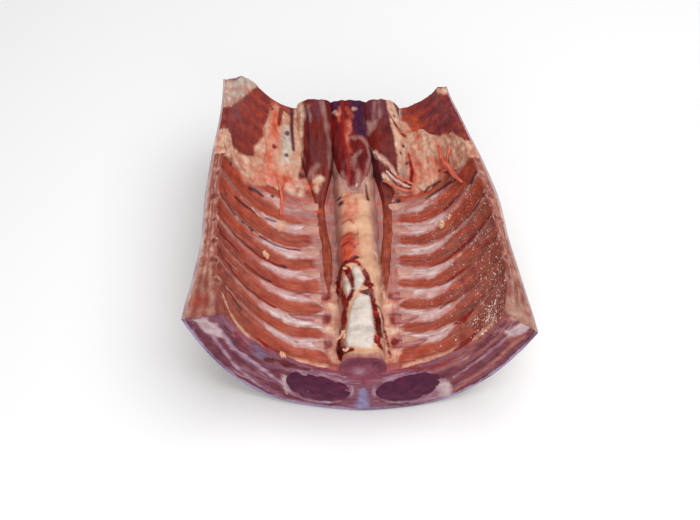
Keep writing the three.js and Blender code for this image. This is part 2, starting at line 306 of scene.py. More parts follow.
CREAM = [
    [(-1.2, 0.655), (-1.0, 0.65), (-0.877, 0.675), (-0.775, 0.658), (-0.7, 0.625), (-0.615, 0.635),
     (-0.5, 0.665), (-0.42, 0.665), (-0.35, 0.65), (-0.32, 0.7), (-0.33, 0.82), (-0.32, 0.98), (-0.4, 0.96),
     (-0.5, 0.98), (-0.54, 0.955), (-0.56, 0.9), (-0.597, 0.857), (-0.583, 0.83), (-0.62, 0.803),
     (-0.655, 0.773), (-0.64, 0.747), (-0.7, 0.727), (-0.8, 0.723), (-0.89, 0.725), (-0.93, 0.755),
     (-1.2, 0.78)],
    [(0.29, 0.66), (0.42, 0.655), (0.5, 0.667), (0.6, 0.672), (0.72, 0.685), (0.8, 0.665), (1.2, 0.655),
     (1.2, 0.72), (1.0, 0.74), (0.913, 0.793), (0.647, 0.84), (0.607, 0.84), (0.56, 0.8), (0.5, 0.78),
     (0.45, 0.8), (0.5, 0.88), (0.47, 0.93), (0.385, 0.97), (0.37, 1.03), (0.31, 1.03), (0.32, 0.8),
     (0.3, 0.7)],
    [(-1.2, 0.85), (-0.985, 0.853), (-0.863, 0.903), (-0.748, 0.948), (-0.58, 1.05), (-1.2, 1.05)],
    [(0.91, 1.05), (0.95, 0.97), (1.2, 0.945), (1.2, 1.05)],
    [(-0.231, 0.722), (-0.167, 0.714), (-0.199, 0.684), (-0.211, 0.665), (-0.234, 0.68)],
    [(-0.36, 1.03), (-0.3, 1.03), (-0.3, 0.915), (-0.3, 0.783), (-0.338, 0.778)],
    [(-0.47, 0.535), (-0.4, 0.54), (-0.39, 0.5), (-0.44, 0.495)],
    [(-0.16, 0.03), (-0.19, 0.06), (-0.15, 0.09), (-0.14, 0.12), (-0.2, 0.14), (-0.165, 0.17), (-0.15, 0.2),
     (-0.2, 0.235), (-0.16, 0.255), (-0.14, 0.3), (-0.12, 0.35), (-0.12, 0.03)],
    [(0.17, 0.03), (0.2, 0.06), (0.15, 0.075), (0.14, 0.12), (0.21, 0.145), (0.15, 0.16), (0.13, 0.21),
     (0.19, 0.245), (0.14, 0.265), (0.12, 0.3), (0.11, 0.4), (0.08, 0.4), (0.08, 0.03)],
]
CREAM_STROKES = [
    [(0.16, 0.795, 5), (0.25, 0.75, 5), (0.3, 0.71, 4)],
    [(0.2, 0.72, 4), (0.33, 0.66, 6)],
    [(-0.309, 0.655, 4), (-0.291, 0.685, 6), (-0.288, 0.71, 4)],
    [(-0.093, 0.954, 3), (-0.073, 0.937, 2)],
    [(0.033, 0.961, 3), (0.055, 0.966, 2)],
    [(0.09, 0.63, 6), (0.1, 0.6, 3)],
    [(-1.0, 0.1, 4), (-0.97, 0.065, 8), (-0.9, 0.034, 8), (-0.8, 0.016, 6), (-0.7, 0.002, 4), (-0.6, 0.0, 2)],
    [(0.22, 0.006, 5), (0.4, 0.004, 6), (0.6, 0.006, 5), (0.75, 0.014, 4), (0.85, 0.022, 3)],
    [(-0.2, 0.006, 5), (-0.3, 0.002, 5), (-0.4, 0.0, 3)],
]
FASCIA = [
    [(-0.205, 0.29), (-0.235, 0.42), (-0.25, 0.52), (-0.36, 0.57), (-0.36, 0.64), (-0.24, 0.65),
     (-0.12, 0.64), (-0.12, 0.29)],
    [(0.1, 0.29), (0.12, 0.63), (0.28, 0.64), (0.25, 0.56), (0.225, 0.45), (0.195, 0.29)],
    [(-0.43, 0.655), (-0.27, 0.66), (-0.27, 0.56), (-0.42, 0.56)],
    [(-0.32, 0.98), (-0.25, 0.975), (-0.249, 0.91), (-0.27, 0.925), (-0.285, 0.925), (-0.32, 0.9)],
    [(0.125, 0.915), (0.213, 0.918), (0.179, 0.885), (0.13, 0.865)],
    [(0.3, 0.64), (0.3, 0.59), (0.5, 0.6), (0.46, 0.64)],
]
FASCIA_STROKES = [
    [(0.006, 0.845, 3), (0.077, 0.841, 3.6), (0.119, 0.81, 4), (0.117, 0.771, 3), (0.096, 0.724, 2.4),
     (0.085, 0.685, 2.4)],
    [(0.002, 0.758, 2.6), (0.06, 0.789, 2)],
    [(0.009, 0.75, 2), (0.005, 0.715, 2.4), (0.026, 0.707, 4), (0.023, 0.663, 5)],
    [(0.209, 0.986, 1.6), (0.178, 0.915, 2.4)],
    [(0.25, 0.99, 1.2), (0.24, 0.93, 1.6)],
    [(-0.168, 0.99, 2.6), (-0.152, 0.923, 2.4), (-0.141, 0.871, 1.8), (-0.13, 0.81, 1), (-0.137, 0.75, 1)],
    [(-0.204, 0.754, 4), (-0.238, 0.733, 4), (-0.284, 0.707, 4)],
    [(-0.07, 0.7, 3), (-0.05, 0.645, 7), (0.03, 0.635, 8), (0.08, 0.69, 4)],
    [(-0.13, 0.36, 6), (-0.13, 0.6, 7)],
    [(0.125, 0.4, 5), (0.13, 0.6, 6)],
]
SALMON_STROKES = [
    [(-0.62, 0.675, 8), (-0.5, 0.7, 16), (-0.38, 0.7, 12)],
    [(-0.52, 0.76, 10), (-0.5, 0.86, 12), (-0.51, 0.97, 8)],
    [(0.3, 0.69, 8), (0.38, 0.7, 16), (0.5, 0.7, 12), (0.62, 0.7, 16), (0.72, 0.7, 8)],
    [(0.42, 0.78, 10), (0.46, 0.72, 12)],
    [(-0.05, 0.52, 10), (-0.04, 0.6, 6)],
]
GREY = [
    [(-0.435, 0.9), (-0.4, 0.9), (-0.375, 0.85), (-0.367, 0.81), (-0.39, 0.755), (-0.43, 0.75),
     (-0.44, 0.818)],
    [(0.33, 1.0), (0.45, 0.99), (0.42, 0.92), (0.36, 0.88), (0.34, 0.92)],
    [(-1.2, 0.86), (-0.985, 0.862), (-0.863, 0.912), (-0.748, 0.957), (-0.6, 1.05), (-1.2, 1.05)],
    [(0.32, 1.03), (0.43, 1.03), (0.4, 0.94), (0.365, 0.907), (0.365, 0.82), (0.35, 0.73), (0.3, 0.73),
     (0.31, 0.83)],
]
WHITE = [
    [(-0.085, 0.045), (0.05, 0.04), (0.06, 0.1), (0.05, 0.16), (0.045, 0.225), (-0.01, 0.235), (-0.04, 0.21),
     (-0.065, 0.15), (-0.09, 0.09)],
    [(-0.04, 0.33), (-0.015, 0.335), (0.02, 0.3), (0.0, 0.26), (-0.02, 0.24), (-0.035, 0.25), (-0.03, 0.29)],
    [(-0.085, 0.305), (-0.068, 0.3), (-0.05, 0.26), (-0.065, 0.235), (-0.085, 0.26)],
]
BLOOD_STROKES = [
    [(-0.02, 0.375, 6), (-0.1, 0.345, 6), (-0.115, 0.3, 3), (-0.095, 0.24, 4), (-0.08, 0.205, 5),
     (-0.1, 0.13, 5), (-0.125, 0.08, 5), (-0.11, 0.045, 7), (-0.06, 0.035, 4)],
    [(-0.07, 0.33, 6), (-0.05, 0.3, 5), (-0.04, 0.255, 4), (-0.07, 0.215, 4)],
    [(-0.04, 0.36, 5), (0.0, 0.345, 3), (0.035, 0.3, 5), (0.05, 0.25, 4), (0.06, 0.2, 5), (0.075, 0.15, 6),
     (0.085, 0.09, 6)],
    [(0.03, 0.24, 5), (-0.01, 0.24, 2)],
    [(0.09, 0.2, 1.5), (0.13, 0.1, 2), (0.14, 0.05, 2.5)],
]
BLOOD_SPOTS = [(0.03, 0.055, 7), (0.07, 0.07, 8), (0.09, 0.055, 5), (0.04, 0.27, 9), (0.16, 0.105, 6)]
STAIN = [
    [(-0.085, 0.47), (-0.02, 0.475), (0.0, 0.42), (-0.01, 0.385), (-0.04, 0.36), (-0.095, 0.36),
     (-0.1, 0.42)],
]
STAIN_RINGS = [
    [(-0.08, 0.505, 1), (-0.04, 0.515, 1.2), (-0.01, 0.495, 1), (0.0, 0.46, 1)],
    [(-0.085, 0.46, 1.2), (-0.04, 0.47, 1.4), (-0.01, 0.45, 1.2), (-0.005, 0.42, 1.2)],
    [(-0.085, 0.42, 1.4), (-0.05, 0.43, 1.6), (-0.02, 0.41, 1.4)],
]
ORANGE_STROKES = [
    [(-0.53, 0.77, 8), (-0.52, 0.71, 6)],
    [(-0.52, 0.7, 5), (-0.4, 0.7, 7)],
    [(-0.42, 0.7, 5), (-0.42, 0.64, 4), (-0.42, 0.55, 1)],
    [(0.4, 0.78, 4), (0.41, 0.7, 8)],
    [(0.55, 0.75, 3), (0.62, 0.73, 7), (0.68, 0.7, 6)],
    [(0.37, 0.875, 3), (0.45, 0.885, 3), (0.52, 0.9, 3)],
    [(-0.5, 0.95, 8), (-0.5, 0.85, 9)],
    [(-0.2, 0.6, 4), (-0.23, 0.61, 5)],
    [(-0.021, 0.968, 1.6), (0.02, 0.932, 1.6), (-0.029, 0.906, 2.4), (-0.043, 0.837, 1.8),
     (-0.014, 0.784, 1.6)],
    [(-0.06, 0.96, 1.4), (-0.065, 0.92, 2)],
    [(-0.27, 0.7, 5), (-0.24, 0.69, 3)],
    [(0.56, 0.93, 5), (0.52, 0.85, 7), (0.5, 0.8, 3)],
    [(-0.03, 0.63, 1.6), (-0.06, 0.6, 2), (-0.03, 0.575, 2), (-0.055, 0.545, 2.4), (-0.03, 0.515, 2.4)],
    [(0.0, 0.6, 1.4), (0.0, 0.55, 2), (-0.02, 0.53, 1.6)],
]
PINK_STROKES = [
    [(-0.006, 0.91, 4), (0.0, 0.88, 4), (-0.021, 0.854, 3), (-0.031, 0.81, 2)],
    [(-0.03, 0.79, 1.4), (-0.025, 0.72, 1.4)],
    [(0.3, 0.665, 3), (0.4, 0.655, 4)],
    [(-0.5, 0.67, 6), (-0.45, 0.675, 4)],
    [(-0.06, 0.97, 2), (-0.055, 0.94, 3)],
    [(0.45, 0.75, 5), (0.48, 0.73, 4)],
    [(-0.62, 0.665, 4), (-0.5, 0.685, 3)],
]
RED_STROKES = [
    [(0.393, 0.36, 1.4), (0.478, 0.365, 2.8), (0.568, 0.383, 3.6), (0.645, 0.398, 3.6), (0.74, 0.412, 3.4),
     (0.86, 0.425, 3.2), (1.0, 0.43, 2.6)],
    [(0.425, 0.277, 1.4), (0.478, 0.283, 2.6), (0.535, 0.295, 3.8), (0.585, 0.307, 3.4), (0.64, 0.315, 1.6)],
    [(0.423, 0.187, 2), (0.47, 0.198, 2.6), (0.492, 0.203, 1.4)],
    [(0.508, 0.103, 3), (0.57, 0.106, 7), (0.63, 0.123, 4)],
    [(0.5, 0.0, 3), (0.56, 0.008, 7), (0.62, 0.014, 7), (0.66, 0.03, 3)],
    [(-0.557, 0.368, 1.6), (-0.497, 0.365, 2.6), (-0.44, 0.362, 3), (-0.405, 0.362, 3)],
    [(-0.58, 0.192, 1.6), (-0.522, 0.183, 3), (-0.475, 0.182, 3.4)],
    [(-0.547, 0.292, 2), (-0.49, 0.283, 3.4)],
    [(-0.385, 0.43, 2), (-0.312, 0.433, 3), (-0.247, 0.437, 2.4)],
    [(-0.46, 0.97, 5), (-0.47, 0.9, 4)],
    [(-0.04, 0.995, 2.4), (-0.041, 0.923, 3), (-0.054, 0.858, 3.4), (-0.033, 0.793, 2.4),
     (-0.027, 0.724, 2.4), (-0.03, 0.681, 2)],
    [(-0.62, 0.02, 2), (-0.55, 0.01, 5), (-0.45, 0.01, 2)],
    [(-0.495, 0.803, 5), (-0.49, 0.8, 5)],
    [(0.41, 0.79, 2), (0.4, 0.72, 4), (0.36, 0.665, 2)],
    [(0.61, 0.7, 2), (0.65, 0.69, 2), (0.7, 0.68, 4)],
    [(0.31, 0.95, 2), (0.36, 0.9, 3), (0.42, 0.87, 3)],
]
DARK_STROKES = [
    [(-1.0, 0.5, 1.4), (-0.853, 0.492, 1.8), (-0.785, 0.478, 2), (-0.69, 0.468, 2), (-0.607, 0.452, 2),
     (-0.525, 0.44, 2), (-0.46, 0.432, 1.8), (-0.385, 0.43, 1.4)],
    [(-0.78, 0.548, 1.6), (-0.69, 0.537, 2), (-0.615, 0.532, 2), (-0.552, 0.525, 1.8), (-0.463, 0.523, 1.4)],
    [(-1.0, 0.453, 1.8), (-0.92, 0.425, 2), (-0.795, 0.412, 2), (-0.698, 0.398, 1.8), (-0.617, 0.385, 1.8),
     (-0.557, 0.368, 1.4)],
    [(-1.0, 0.382, 1.6), (-0.912, 0.37, 1.8), (-0.8, 0.367, 1.6), (-0.728, 0.353, 1.2)],
    [(-1.0, 0.293, 1.6), (-0.88, 0.27, 1.8), (-0.777, 0.248, 1.8), (-0.72, 0.225, 1.6), (-0.665, 0.21, 1.8),
     (-0.58, 0.192, 1.4)],
    [(-0.67, 0.318, 1.4), (-0.607, 0.305, 1.8), (-0.547, 0.292, 1.8), (-0.49, 0.283, 1.6)],
    [(-1.0, 0.162, 1.6), (-0.905, 0.137, 1.8), (-0.812, 0.115, 1.6), (-0.735, 0.098, 1)],
    [(-0.66, 0.615, 2.4), (-0.613, 0.617, 2.8), (-0.55, 0.607, 1.6)],
    [(1.0, 0.6, 2.4), (0.907, 0.59, 3), (0.792, 0.575, 2.6)],
    [(1.0, 0.51, 2), (0.885, 0.503, 2.2), (0.768, 0.49, 2), (0.673, 0.48, 1.4)],
    [(0.703, 0.577, 1.8), (0.627, 0.567, 2.2), (0.552, 0.555, 1.4)],
    [(0.762, 0.642, 2.6), (0.653, 0.638, 3.2), (0.545, 0.63, 2.4), (0.455, 0.62, 1.4)],
    [(0.598, 0.667, 1.6), (0.522, 0.658, 2), (0.465, 0.648, 1.6)],
    [(-0.38, 1.0, 3.4), (-0.377, 0.89, 3.4), (-0.36, 0.812, 2.6)],
    [(-0.28, 0.977, 1.8), (-0.267, 0.923, 2.4), (-0.268, 0.871, 2.4), (-0.254, 0.81, 1.8),
     (-0.278, 0.733, 1.6)],
    [(0.129, 0.991, 2.4), (0.115, 0.932, 2.4), (0.115, 0.88, 1.6)],
    [(0.126, 0.81, 2.4), (0.142, 0.776, 4), (0.161, 0.733, 5), (0.188, 0.694, 3)],
    [(0.07, 0.66, 1.6), (0.073, 0.6, 2.4)],
]
DARK_SPOTS = [(-0.485, 0.62, 3.4), (-0.302, 0.735, 4.6), (0.27, 0.64, 5), (0.24, 0.63, 4), (0.22, 0.655, 3),
              (-0.87, 0.655, 4), (-0.97, 0.61, 4), (-0.407, 0.87, 4.6), (-0.405, 0.78, 4), (-0.402, 0.362, 4),
              (-0.09, 0.618, 4.4), (-0.083, 0.59, 4.4), (0.385, 0.83, 3), (0.36, 0.9, 2), (-0.53, 0.96, 3),
              (0.36, 0.94, 2.4), (0.41, 0.9, 2.4), (0.35, 0.8, 2.4), (0.38, 0.76, 3), (0.345, 0.7, 3)]
# Notches between the rib heads beside the backbone: dark red, partly the flesh's colour and partly painted
# shade in the notches.
RED_NOTCHES_AND_SHADE = [(0.15, 0.1, 9), (0.145, 0.187, 9), (0.135, 0.28, 7), (-0.168, 0.27, 7), (-0.175, 0.188, 8),
         (-0.18, 0.092, 5), (0.16, 0.36, 3)]
LENSES = [
    [(0.16, 0.362), (0.19, 0.37), (0.22, 0.37), (0.262, 0.36), (0.218, 0.353)],
    [(0.135, 0.28), (0.173, 0.287), (0.238, 0.278), (0.262, 0.268), (0.19, 0.26), (0.153, 0.265)],
    [(0.13, 0.208), (0.173, 0.205), (0.228, 0.195), (0.29, 0.177), (0.225, 0.167), (0.15, 0.172)],
    [(0.14, 0.115), (0.203, 0.105), (0.29, 0.092), (0.345, 0.081), (0.268, 0.07), (0.155, 0.083)],
    [(-0.34, 0.262), (-0.272, 0.277), (-0.228, 0.282), (-0.17, 0.283), (-0.17, 0.262), (-0.228, 0.258),
     (-0.272, 0.257)],
    [(-0.385, 0.17), (-0.323, 0.182), (-0.257, 0.188), (-0.195, 0.197), (-0.16, 0.205), (-0.17, 0.173),
     (-0.21, 0.168), (-0.277, 0.164), (-0.343, 0.16)],
    [(-0.262, 0.08), (-0.218, 0.095), (-0.167, 0.105), (-0.165, 0.08), (-0.22, 0.072)],
    [(-0.29, 0.352), (-0.25, 0.36), (-0.2, 0.362), (-0.2, 0.35), (-0.25, 0.345)],
]
TOPS = [
    [(-0.242, 1.03), (-0.168, 1.03), (-0.172, 0.928), (-0.238, 0.923)],
    [(0.13, 1.03), (0.33, 1.03), (0.301, 0.91), (0.204, 0.91), (0.128, 0.923)],
]
PURPLE = [
    [(-0.153, 1.03), (-0.046, 1.03), (-0.054, 0.932), (-0.136, 0.937)],
    [(-0.003, 1.03), (0.137, 1.03), (0.12, 0.923), (0.11, 0.845), (0.017, 0.867), (0.018, 0.923)],
]
PAINTED = {
    "fascia": (FASCIA, FASCIA_STROKES, [], 0.8, 0, 0),
    "cream": (CREAM, CREAM_STROKES, [], 0.4, 0, 0),
    "flank": (FLANK, [], [], 0.4, 0, 0),
    "rust": (RUST, [], [], 0.8, 0, 0),
    "bruise": (BRUISE, [], [], 2, 0, 0),
    "salmon": ([], SALMON_STROKES, [], 2, 0, 0),
    "grey": (GREY, [], [], 0.6, 0, 0),
    "orange": ([], ORANGE_STROKES, [], 0, 0.6, 0),
    "stain": (STAIN, [], [], 0, 0.6, 0),
    "pink": ([], PINK_STROKES, [], 0, 0.3, 0),
    "red": ([], RED_STROKES + STAIN_RINGS, [], 0, 0.2, 0.2),
    "dark": ([], DARK_STROKES, DARK_SPOTS, 0, 0, 0.3),
    "blood": ([], BLOOD_STROKES, BLOOD_SPOTS, 0, 0.4, 0),
    "white": (WHITE, [], [], 0, 0.3, 0),
    "lens": (LENSES, [], [], 0, 0.2, 0),
    "red_notch_and_shade": ([], [], RED_NOTCHES_AND_SHADE, 0, 0.4, 0),
}
# Heaps of painted glints, pale painted highlights, on the right wall: how full the middle is, the fall with
# distance in w and v, the middle's w and v, and how these two are weighed.
GLINT_HEAPS = [(-0.9, 9, 0.82, 0.055, 1.2, 2), (-2.3, 4, 0.9, 0.2, 1, 0.8), (-3.4, 1.5, 0.75, 0, 1, 0)]
GLINT_END_V, GLINT_START_W = 0.62, 0.3
DULL_FROM = {"left": (0.66, 0.38), "right": (0.5, 0.47)}  # the w outside which and the v before which it lies
BAND_AT = [0.15, 0.185, 0.205, 0.23, 0.28, 0.42, 0.52, 0.62, 0.8, 1]
BAND_HALF = [18, 13, 9.5, 7.2, 6.3, 5.8, 4.6, 3.4, 3.0, 2.6]
# A painted highlight down the middle of each rib's pale band: the w where it is fullest, how far it reaches
# in mm and how fast it falls off with w.
HIGHLIGHT_AT, HIGHLIGHT_REACH, HIGHLIGHT_FALL = 0.38, 14.0, 84.0
LIP_REACH, LIP_FALL, LIP_END_W = 5.0, 1.2, 0.3
NOWHERE = -9.0  # a field's value where it has nothing


def rib_field(u, v):
    """Half a rib's width of pale membrane less the distance from its middle: so broad near the backbone
    that neighbours meet, slender towards the rim, and a little different on each rib."""
    offset, number = nearest_rib(u, v)
    w = np.abs(u)
    right = u > 0
    own = quirk(number, u)
    half = np.interp(w, BAND_AT, BAND_HALF) + np.where(right, 0.5, 0) * (1 - smooth(w, 0.4, 0.5))
    faint = np.where(right, 3.4 * smooth(w, 0.42, 0.6) * (1 - smooth(v, 0.36, 0.52)),
                     1.2 * smooth(w, 0.52, 0.66) * (1 - smooth(v, 0.3, 0.42)))
    return half + 0.5 * own - faint - np.abs(offset + 0.4 * own)


def inside_fields(u, v):
    """Every field of the inside, by name: the painted ones, the bands along the ribs and their dark edges,
    which are partly painted shade, the dull front corners, a painted highlight at mid rib, the lip over the
    cut and painted glints."""
    w = np.abs(u)
    right = u > 0
    offset, number = nearest_rib(u, v)
    wobble = waves(flat(u, v), 22, 3)
    small = waves(flat(u, v), 9, 4)
    fields = painted(PAINTED, u, v, flat, wobble, small)
    fields["lens_edge"] = 0.9 - np.abs(fields["lens"])
    rib = rib_field(u, v)
    fields["rib"] = rib + 0.5 * wobble
    # A painted highlight down the middle of each rib's pale band, fullest near mid rib.
    painted_highlight = np.minimum(rib - 1.2, HIGHLIGHT_REACH - np.abs(w - HIGHLIGHT_AT) * HIGHLIGHT_FALL)
    fields["painted_highlight"] = painted_highlight + 0.6 * small + 0.8 * wobble + 0.5 * np.sin(number * 1.7)
    from_w, before_v = (np.where(right, DULL_FROM["right"][k], DULL_FROM["left"][k]) for k in (0, 1))
    fields["dull"] = np.minimum((w - from_w) * ARC_MM, (before_v - v) * LENGTH) + 4 * wobble
    # The ribs' dark edges: a dark line along each rib's loin-end side, partly the flesh's own purple line and
    # partly painted shade beside the raised rib.
    edge = 0.9 - np.abs(offset - 1.6 - 1.2 * quirk(number, u) - 0.4 * small) - 6 * (1 - smooth(w, 0.5, 0.6))
    fields["edge"] = edge - np.where(right, 4 * (1 - smooth(v, 0.5, 0.58)), 2 * (1 - smooth(v, 0.36, 0.45)))
    lip = LIP_REACH - v * LENGTH * LIP_FALL - 14 * smooth(w, 0.16, LIP_END_W)
    fields["lip"] = np.where(w < LIP_END_W, lip, NOWHERE) + small
    # Painted glints: heaps of pale painted highlights on the right wall, towards the rib end.
    glint_spots = most(*(full - fall * np.hypot((w - at_w) * weigh_w, (v - at_v) * weigh_v)
                    for full, fall, at_w, at_v, weigh_w, weigh_v in GLINT_HEAPS)) + 0.5 * wobble
    fields["painted_glints"] = np.where(right & (v < GLINT_END_V) & (w > GLINT_START_W), glint_spots, NOWHERE)
    return fields


def inside_relief(u, v):
    """Height in mm that the inside stands above its smooth form: ribs stand up by RIB_PROUD and a
    little more, fat lies on top, strokes are sunk, and all is a little lumpy."""
    x, y = flat(u, v)
    fields = inside_fields(u, v)
    offset, _ = nearest_rib(u, v)
    rooted = smooth(np.abs(u) - 0.05 * smooth(v, 0.25, 0.3), 0.2, 0.28)
    rib = np.exp(-(offset / 6.5) ** 4) * rooted * (1 - smooth(v, 0.68, 0.76))
    lumps = 0.35 * waves((x, y), 18, 5) + 0.12 * waves((x, y), 7, 6)
    fat = smooth(fields["cream"], -2, 4) * (0.7 + 0.35 * waves((x * 1.6, y), 16, 8))
    sunk = 0.3 * smooth(fields["dark"], -1.2, 0.8) + 0.3 * smooth(fields["red"], -1, 1)
    sunk += 0.3 * smooth(fields["lens_edge"], -1, 0.5) + 0.7 * smooth(fields["red_notch_and_shade"], -1, 1)
    return (RIB_PROUD + 0.4) * rib + lumps + fat - sunk


# ---- What the rib-end cut shows: (x, z) in mm from the midline and the floor ----
CUT_MUSCLE = [
    [(-149, 92, 5), (-144, 88, 8), (-133, 68, 11), (-120, 51, 12), (-108, 33, 11), (-94, 17, 9), (-80, 9, 5)],
    [(-122, 78, 5), (-112, 61, 8), (-100, 44, 8), (-86, 30, 8), (-70, 17, 7), (-58, 8, 4)],
    [(-117, 99, 6), (-112, 91, 8), (-106, 76, 8), (-96, 63, 7), (-88, 54, 5)],
    [(-82, 47, 8), (-73, 45, 13), (-65, 47, 6)],
    [(-10, 33, 5), (-17, 20, 9), (-30, 8, 8), (-50, 3, 5)],
    [(8, 33, 5), (16, 20, 9), (30, 8, 8), (50, 4, 5)],
    [(86, 14, 6), (101, 27, 10), (118, 41, 11), (133, 61, 11), (146, 84, 8)],
    [(74, 24, 6), (92, 38, 9), (109, 54, 9), (122, 72, 7)],
    [(66, 44, 9), (74, 45, 13), (88, 48, 8)],
    [(84, 62, 4), (98, 74, 5), (112, 92, 5), (118, 106, 4)],
    [(90, 53, 4), (106, 66, 5), (120, 84, 5), (128, 100, 4)],
]
CUT_SEAM = [
    [(-135, 93, 3), (-126, 77, 4), (-119, 60, 4), (-110, 42, 4), (-98, 27, 4), (-84, 14, 3), (-70, 6, 2)],
    [(-122, 93, 6), (-111, 70, 6), (-96, 57, 6), (-82, 42, 5), (-71, 31, 4), (-67, 22, 3)],
    [(-110, 101, 2), (-101, 86, 2), (-90, 75, 2)],
    [(-64, 52, 3), (-46, 57, 3), (-20, 56, 2.4), (-6, 44, 2.4)],
    [(-9, 39, 2.4), (-22, 22, 3), (-37, 8, 3), (-56, 4, 2)],
    [(10, 40, 2.4), (15, 30, 3), (24, 18, 3), (42, 8, 3), (56, 8, 2.6), (68, 12, 4)],
    [(14, 50, 2), (34, 54, 2.4), (56, 52, 2.4), (63, 44, 3)],
    [(79, 38, 3), (100, 57, 3), (116, 75, 3), (124, 84, 4)],
    [(82, 60, 2), (98, 69, 2), (113, 84, 2)],
]
CUT_RUST = [
    [(80, 17, 3), (96, 31, 4), (112, 47, 4), (126, 65, 4), (138, 76, 5)],
    [(64, 52, 3), (80, 60, 4), (92, 70, 3)],
]
CUT_BODY = [
    [(-50, 60), (-40, 54), (-12, 51), (0, 42), (12, 51), (36, 54), (46, 60), (46, 70), (-50, 70)],
]
CUT_PALE = [
    [(-144, 100), (-132, 105), (-124, 100), (-119, 84), (-130, 82), (-138, 90)],
    [(120, 92), (128, 97), (147, 99), (149, 91), (133, 82), (124, 81)],
    [(121, 118), (134, 113), (135, 103), (126, 106)],
    [(65, 28), (72, 36), (78, 24), (77, 6), (67, 11)],
    [(-66, 34), (-62, 42), (-70, 44), (-72, 32), (-67, 16)],
]
CUT_BLUE = [
    [(-3, 33), (0, 36), (3, 33), (5, 12), (8, -2), (-8, -2), (-5, 12)],
]
CUT_GREY = [
    [(-98, 81), (-89, 79), (-82, 68), (-83, 60), (-92, 65)],
]
CUT_BLOOD = [
    [(-83, 63, 5), (-74, 64, 8), (-64, 62, 8), (-57, 59, 7), (-46, 58, 3)],
]
CUT_RED = [
    [(31, 64, 3), (46, 60, 5), (59, 59, 6), (68, 61, 4), (80, 68, 3)],
    [(-108, 96, 3), (-100, 80, 4), (-94, 75, 3)],
]
CUT_PAINTED = {
    "muscle": ([], CUT_MUSCLE, [], 0.5, 0, 0.7),
    "seam": ([], CUT_SEAM, [], 0, 0, -0.55),
    "pale": (CUT_PALE, [], [], 1, 0, 0),
    "blue": (CUT_BLUE, [], [], 0.6, 0, 0),
    "slate": (CUT_GREY, [], [], 0.6, 0, 0),
    "clot": ([], CUT_BLOOD, [], 0.8, 0, 0),
    "scarlet": ([], CUT_RED, [], 0.6, 0, 0),
    "tan": ([], CUT_RUST, [], 0.6, 0, 0),
    "body": (CUT_BODY, [], [], 1.2, 0, 0),
}
CUT_BROWN_FROM = 72.0
RING_X, RING_Z, RING_HALF_WIDTH, RING_HALF_HEIGHT, RING_HALF = 39.0, 30.5, 29.5, 21.5, 1.3
RING_RADIUS = 23.0  # the ring's mean radius, which turns a share of it into mm


def eye_ring(x, z):
    """The pale seam round the eye of the loin: half its width less the distance from an oval."""
    reach = np.hypot((np.abs(x) - RING_X) / RING_HALF_WIDTH, (z - RING_Z) / RING_HALF_HEIGHT)
    return RING_HALF - np.abs((reach - 1) * RING_RADIUS)


def cut_fields(x, z):
    """Every field of the rib-end cut, by name: the painted ones, the ring round each eye, and brown meat to
    the right."""
    wobble = waves((x, z), 13, 33)
    fields = painted(CUT_PAINTED, x, z, as_drawn, wobble)
    fields["seam"] = most(fields["seam"], eye_ring(x, z) - 0.2) + 0.4 * wobble
    fields["brown"] = x - CUT_BROWN_FROM + 8 * wobble
    return fields


# ---- Meshes ----

def quads(a, b, c, d):
    """Faces from four arrays of vertex numbers, as rows."""
    return np.stack([a, b, c, d], -1).reshape(-1, 4)


def piece(name, points, faces, materials, fields, face_materials=None, lie=None):
    """A closed smooth-shaded mesh object from points in mm and faces, turned to face outwards. lie gives
    each vertex's place in the grain of the flesh, its x along the fibres."""
    points = (points + (*ORIGIN, 0)) * MM
    start, second, third = (points[[face[k] for face in faces]] for k in (0, 1, 2))
    last = points[[face[-1] for face in faces]]
    volume = np.einsum("ij,ij->", start, np.cross(second, third) + np.cross(third, last))
    if volume < 0:
        faces = [face[::-1] for face in faces]
    mesh = bpy.data.meshes.new(name)
    mesh.from_pydata(points, [], faces)
    for key in materials:
        mesh.materials.append(MATERIALS[key])
    if face_materials is not None:
        mesh.polygons.foreach_set("material_index", face_materials)
    for key, values in fields.items():
        field = mesh.attributes.new(key, "FLOAT", "POINT")
        field.data.foreach_set("value", np.asarray(values, np.float32))
    grain = points if lie is None else np.stack(lie, -1) * MM
    field = mesh.attributes.new("lie", "FLOAT_VECTOR", "POINT")
    field.data.foreach_set("vector", np.asarray(grain, np.float32).ravel())
    mesh.shade_smooth()
    mesh.set_sharp_from_angle(angle=math.radians(55))
    mesh.update()
    thing = bpy.data.objects.new(name, mesh)
    bpy.context.scene.collection.objects.link(thing)
    return thing


def own(thing, record_slot, *nodes):
    """The piece rides on the one body and stands for its CAD nodes, which it hides; record_slot is not used.
    """
    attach(thing, "root")
    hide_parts(*nodes)
    return thing


